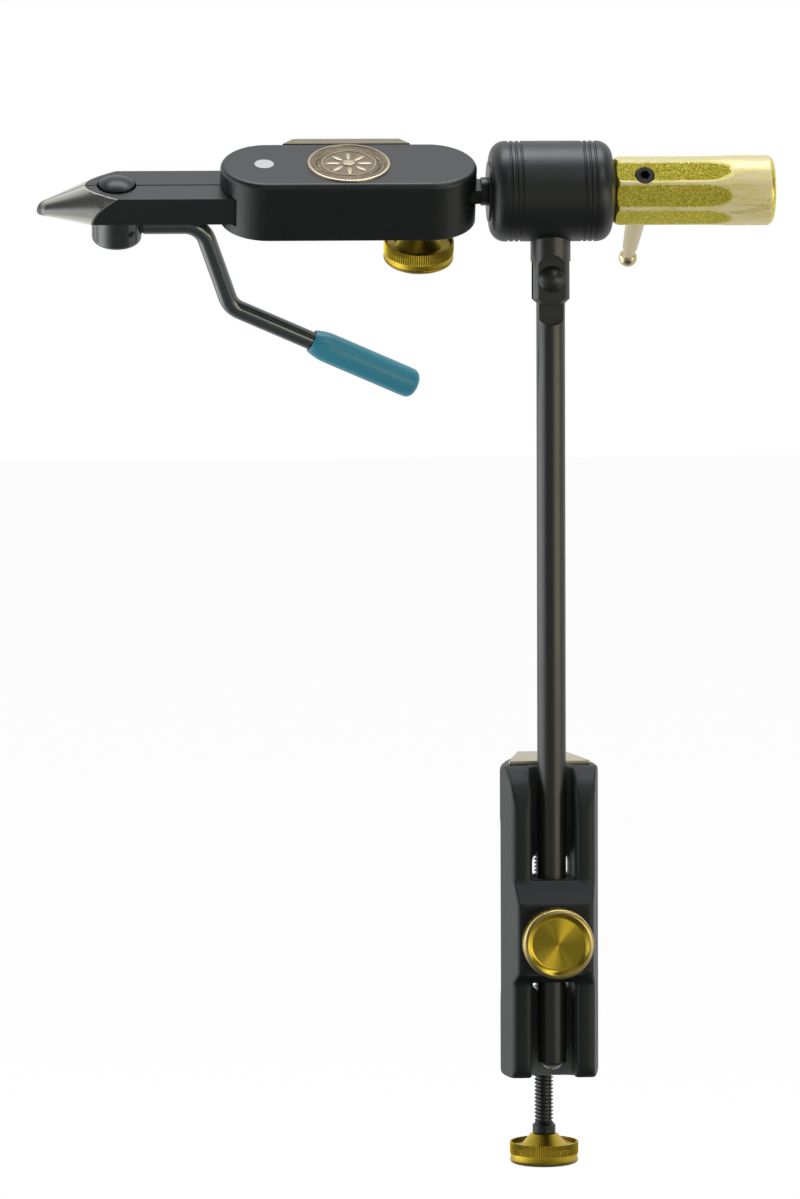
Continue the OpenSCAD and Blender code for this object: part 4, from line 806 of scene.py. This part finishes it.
# The first millimetres of the tip keep the dark skin colour: a painted shade that holds back the ball
# tip's highlight.
tip_painted_shade = add_node(tree, "ShaderNodeMapRange", {"From Min": 0.0010, "From Max": 0.0030},
                 {"Value": split.outputs["X"]})
bare_with_painted_tip_shade = add_node(tree, "ShaderNodeMath", {"operation": "MULTIPLY"},
                {0: ground.outputs["Result"], 1: tip_painted_shade.outputs["Result"]})
skin = add_node(tree, "ShaderNodeMix", {"data_type": "RGBA", 6: linear("#131A19"),
                                        7: linear("#C6C5BE")}, {0: bare_with_painted_tip_shade.outputs[0]})
tree.links.new(skin.outputs[2], surface.inputs["Base Color"])
tree.links.new(bare_with_painted_tip_shade.outputs[0], surface.inputs["Metallic"])
rough = add_node(tree, "ShaderNodeMapRange", {"To Min": 0.38, "To Max": 0.22},
                 {"Value": bare_with_painted_tip_shade.outputs[0]})
tree.links.new(rough.outputs["Result"], surface.inputs["Roughness"])
wheel = add_node(tree, "ShaderNodeCombineXYZ", None, {"X": split.outputs["X"]})
wheel_marks = add_node(tree, "ShaderNodeTexNoise", {"Scale": 1000 / 0.238, "Detail": 3.0},
                       {"Vector": wheel.outputs[0]})
milled = add_node(tree, "ShaderNodeTexNoise", {"Scale": 1000 / 0.357, "Detail": 2.0},
                  {"Vector": place})
marks = add_node(tree, "ShaderNodeMix", {"data_type": "FLOAT"},
                 {0: bare_with_painted_tip_shade.outputs[0], 2: milled.outputs["Fac"],
                  3: wheel_marks.outputs["Fac"]})
cut = add_node(tree, "ShaderNodeBump", {"Strength": 0.2, "Distance": 0.00003},
               {"Height": marks.outputs[0]})
tree.links.new(cut.outputs["Normal"], surface.inputs["Normal"])
# The seam opens a little towards the pivot, as it does in clamped jaws.
SEAM_OPEN = 0.00022
SEAM_LEN = 0.04
for name in ("near_jaw", "far_jaw"):
    jaw = eased(name + "_ground", name, 0.00018, jaw_steel, sharp=14)
    for v in jaw.data.vertices:
        own = to_head @ v.co
        if abs(own.y) < 0.0004:
            share = min(1.0, max(0.0, (own.x - TIP_X) / SEAM_LEN))
            own.y += (SEAM_OPEN * share) * (1 if own.y > 0 else -1)
            v.co = HEAD_PLACE @ own

# cam post and cam barrel
# The post has a domed head over a taper that spreads the jaws, and is screwed into the
# barrel under them. Both are turned steel, polished and blackened.


def polished_black(name, colour, level, smooth, hazy, users):
    """Steel polished and blackened, with a faint haze in its gloss, on the CAD nodes."""
    material, tree, surface, place = start_material(name, colour, 0.0, smooth,
                                                    Specular_IOR_Level=level)
    patchy(tree, surface, place, 1.11, 4.0, smooth - hazy, smooth + hazy)
    coat(material, *users)


polished_black("polished_black_post", "#14171A", 0.3, 0.32, 0.05, ("cam_post",))
polished_black("polished_black_barrel", "#1E2423", 0.9, 0.20, 0.05, ("cam_barrel", "cam_pin"))

# lever and grip
# A bent steel rod with a polished black skin, hooked on the cam barrel's cross pin, and a
# blue-green vinyl grip dipped on its end, with a soft even gloss.
polished_black("drawn_black_rod", "#2A3031", 1.0, 0.13, 0.02, ("lever_rod",))

vinyl, tree, surface, place = start_material("dipped_vinyl_grip", "#117085", 0.0, 0.42,
                                             Subsurface_Weight=0.05, Coat_Weight=0.15,
                                             Coat_Roughness=0.3)
grained(tree, surface, place, 0.91, 3.0, 0.15, 0.00006)
FULCRUM_X = -0.122
BEND_RUN = 0.0075
LEVER_Z = JAW_BOTTOM - 0.0052
DOWN_RUN = 0.0099
DOWN_DROP = 0.0303
OUT_RUN = 0.027
OUT_DROP = 0.0132
GRIP_L = 0.0393
GRIP_R = 0.005
END_R = 0.0030
outline = [(0.0031, 0.0006), (0.0032, 0.0001), (0.0036, 0), (0.0039, 0.0003),
           (0.00415, 0.0012), (0.00455, 0.0026), (0.00485, 0.0042), (0.00497, 0.0056)]
outline += [(GRIP_R, 0.0070), (GRIP_R, GRIP_L - 0.0045)]
for i in range(1, 9):
    a = radians(90 * i / 8)
    outline.append((GRIP_R - END_R * (1 - cos(a)), GRIP_L - END_R + END_R * sin(a)))
outline += [(0.0010, GRIP_L), (0, GRIP_L)]
grip_start = Vector((FULCRUM_X + BEND_RUN + DOWN_RUN + OUT_RUN, 0,
                     LEVER_Z - DOWN_DROP - OUT_DROP))
run = Vector((OUT_RUN, 0, -OUT_DROP)).normalized()
tilt = run.to_track_quat("Z", "Y").to_matrix().to_4x4()
grip_mesh = turned([(0, 0.0006)] + outline, 96)
grip_mesh.transform(HEAD_PLACE @ Matrix.Translation(grip_start) @ tilt)
grip = settle("grip_dipped", grip_mesh, "lever", vinyl, ["lever_grip"], sharp=60)

# floor, backdrop and light
# A pale sweep behind and below, a soft world and four soft boxes. The floor lies low enough
# for the clamp screw and the stem at their lowest.
FLOOR_Z = cad_box[0][2] - 0.065
# As gloss shows them, the backdrop is white and the room behind the camera is dark above a grey horizon
# but for a lit doorway. The floor glows in gloss only with painted light: a painted shadow, a dim pool
# in front of the object, and a painted reflection, a bright patch under the key light.
BACK_GLOSS = 1.0
HORIZON_GLOSS = 0.34
ROOM_GLOSS = 0.07
DOOR_GLOSS = 0.34
POOL_GLOSS = 0.12
TABLE_GLOSS = 0.85
PATCH_GLOSS = 2.4
sweep, tree, surface, place = start_material("pale_floor", "#FFFFFF", 0.0, 0.9)
path = add_node(tree, "ShaderNodeLightPath")
level_place = add_node(tree, "ShaderNodeVectorMath", {"operation": "MULTIPLY", 1: (1, 1, 0)},
                       {0: place})
from_pool = add_node(tree, "ShaderNodeVectorMath", {"operation": "DISTANCE",
                                                    1: (-0.02, -0.25, 0)},
                     {0: level_place.outputs[0]})
painted_pool = add_node(tree, "ShaderNodeMapRange", {"interpolation_type": "SMOOTHSTEP",
                                             "From Min": 0.22, "From Max": 0.52,
                                             "To Min": POOL_GLOSS, "To Max": TABLE_GLOSS},
                {"Value": from_pool.outputs["Value"]})
span = add_node(tree, "ShaderNodeSeparateXYZ", None, {0: place})
far_front = add_node(tree, "ShaderNodeMapRange", {"interpolation_type": "SMOOTHSTEP",
                                                  "From Min": -0.45, "From Max": -0.8,
                                                  "To Min": 1.0,
                                                  "To Max": HORIZON_GLOSS / TABLE_GLOSS},
                     {"Value": span.outputs["Y"]})
in_view = add_node(tree, "ShaderNodeMath", {"operation": "MULTIPLY"},
                   {0: painted_pool.outputs["Result"], 1: far_front.outputs["Result"]})
from_patch = add_node(tree, "ShaderNodeVectorMath", {"operation": "DISTANCE",
                                                     1: (-0.75, 0.1, FLOOR_Z)}, {0: place})
painted_patch = add_node(tree, "ShaderNodeMapRange", {"interpolation_type": "SMOOTHSTEP",
                                              "From Min": 0.5, "From Max": 0.15,
                                              "To Max": PATCH_GLOSS},
                 {"Value": from_patch.outputs["Value"]})
with_patch = add_node(tree, "ShaderNodeMath", {"operation": "ADD"},
                      {0: in_view.outputs[0], 1: painted_patch.outputs["Result"]})
in_gloss = add_node(tree, "ShaderNodeEmission", {"Color": (1, 1, 1, 1)},
                    {"Strength": with_patch.outputs[0]})
glow = add_node(tree, "ShaderNodeEmission", {"Color": (1, 1, 1, 1), "Strength": 1.0})
seen = add_node(tree, "ShaderNodeMath", {"operation": "MULTIPLY", 1: 0.95},
                {0: path.outputs["Is Camera Ray"]})
mixed = add_node(tree, "ShaderNodeMixShader", None,
                 {0: seen.outputs[0], 1: surface.outputs[0], 2: glow.outputs[0]})
mirrored = add_node(tree, "ShaderNodeMixShader", None,
                    {0: path.outputs["Is Glossy Ray"], 1: mixed.outputs[0],
                     2: in_gloss.outputs[0]})
tree.links.new(mirrored.outputs[0], tree.nodes["Material Output"].inputs["Surface"])
floor_mesh = bpy.data.meshes.new("floor")
floor_mesh.from_pydata([(-6, -6, FLOOR_Z), (6, -6, FLOOR_Z), (6, 6, FLOOR_Z), (-6, 6, FLOOR_Z)],
                       [], [(0, 1, 2, 3)])
floor_mesh.materials.append(sweep)
floor = bpy.data.objects.new("floor", floor_mesh)
scene.collection.objects.link(floor)

world = bpy.data.worlds.new("studio")
world.use_nodes = True
scene.world = world
tree = world.node_tree
tree.nodes.clear()
way = add_node(tree, "ShaderNodeTexCoord").outputs["Generated"]
ways = add_node(tree, "ShaderNodeSeparateXYZ", None, {0: way})
rise = add_node(tree, "ShaderNodeMapRange", {"interpolation_type": "SMOOTHSTEP",
                                             "From Min": 0.02, "From Max": 0.16,
                                             "To Min": HORIZON_GLOSS, "To Max": ROOM_GLOSS},
                {"Value": ways.outputs["Z"]})
beside = add_node(tree, "ShaderNodeMath", {"operation": "ABSOLUTE"}, {0: ways.outputs["X"]})
door_side = add_node(tree, "ShaderNodeMapRange", {"interpolation_type": "SMOOTHSTEP",
                                                  "From Min": 0.5, "From Max": 0.2},
                     {"Value": beside.outputs[0]})
door_top = add_node(tree, "ShaderNodeMapRange", {"interpolation_type": "SMOOTHSTEP",
                                                 "From Min": 0.55, "From Max": 0.35,
                                                 "To Max": DOOR_GLOSS},
                    {"Value": ways.outputs["Z"]})
door = add_node(tree, "ShaderNodeMath", {"operation": "MULTIPLY"},
                {0: door_side.outputs["Result"], 1: door_top.outputs["Result"]})
front = add_node(tree, "ShaderNodeMath", {"operation": "MAXIMUM"},
                 {0: door.outputs[0], 1: rise.outputs["Result"]})
behind = add_node(tree, "ShaderNodeMapRange", {"interpolation_type": "SMOOTHSTEP",
                                               "From Min": -0.45, "From Max": 0.45,
                                               "To Max": BACK_GLOSS},
                  {"Value": ways.outputs["Y"], "To Min": front.outputs[0]})
path = add_node(tree, "ShaderNodeLightPath")
room = add_node(tree, "ShaderNodeBackground", {"Color": (1, 1, 1, 1)},
                {"Strength": behind.outputs["Result"]})
soft = add_node(tree, "ShaderNodeBackground", {"Color": (1, 1, 1, 1), "Strength": 0.4})
white = add_node(tree, "ShaderNodeBackground", {"Color": (1, 1, 1, 1), "Strength": 1.0})
glossy = add_node(tree, "ShaderNodeMixShader", None, {0: path.outputs["Is Glossy Ray"],
                                                      1: soft.outputs[0], 2: room.outputs[0]})
final = add_node(tree, "ShaderNodeMixShader", None, {0: path.outputs["Is Camera Ray"],
                                                     1: glossy.outputs[0], 2: white.outputs[0]})
out = add_node(tree, "ShaderNodeOutputWorld", None, {"Surface": final.outputs[0]})


def soft_box(name, spot, target, width, height, power, tint="#FFFFFF"):
    """A rectangular soft box that faces a point."""
    light = bpy.data.lights.new(name, "AREA")
    light.shape = "RECTANGLE"
    light.size = width
    light.size_y = height
    light.energy = power
    light.color = linear(tint)[:3]
    lamp = bpy.data.objects.new(name, light)
    scene.collection.objects.link(lamp)
    lamp.location = spot
    lamp.rotation_euler = (Vector(target) - Vector(spot)).to_track_quat("-Z", "Y").to_euler()
    return lamp


soft_box("key_left", (-1.10, 0.0, 0.16), (-0.02, 0.01, 0.1), 1.38, 0.52, 5.8, "#F4F9FF")
soft_box("fill_right", (0.72, -0.72, 0.05), (0.0, 0, 0.06), 0.95, 0.36, 3.4, "#FFF6D2")
soft_box("overhead", (-0.02, 0.0, 1.15), (-0.02, -0.02, 0.2), 0.9, 0.44, 9.8, "#F4F8FF")
soft_box("front_high", (0.46, -0.82, 0.92), (0.0, -0.03, 0.0), 0.3, 0.3, 2.4)
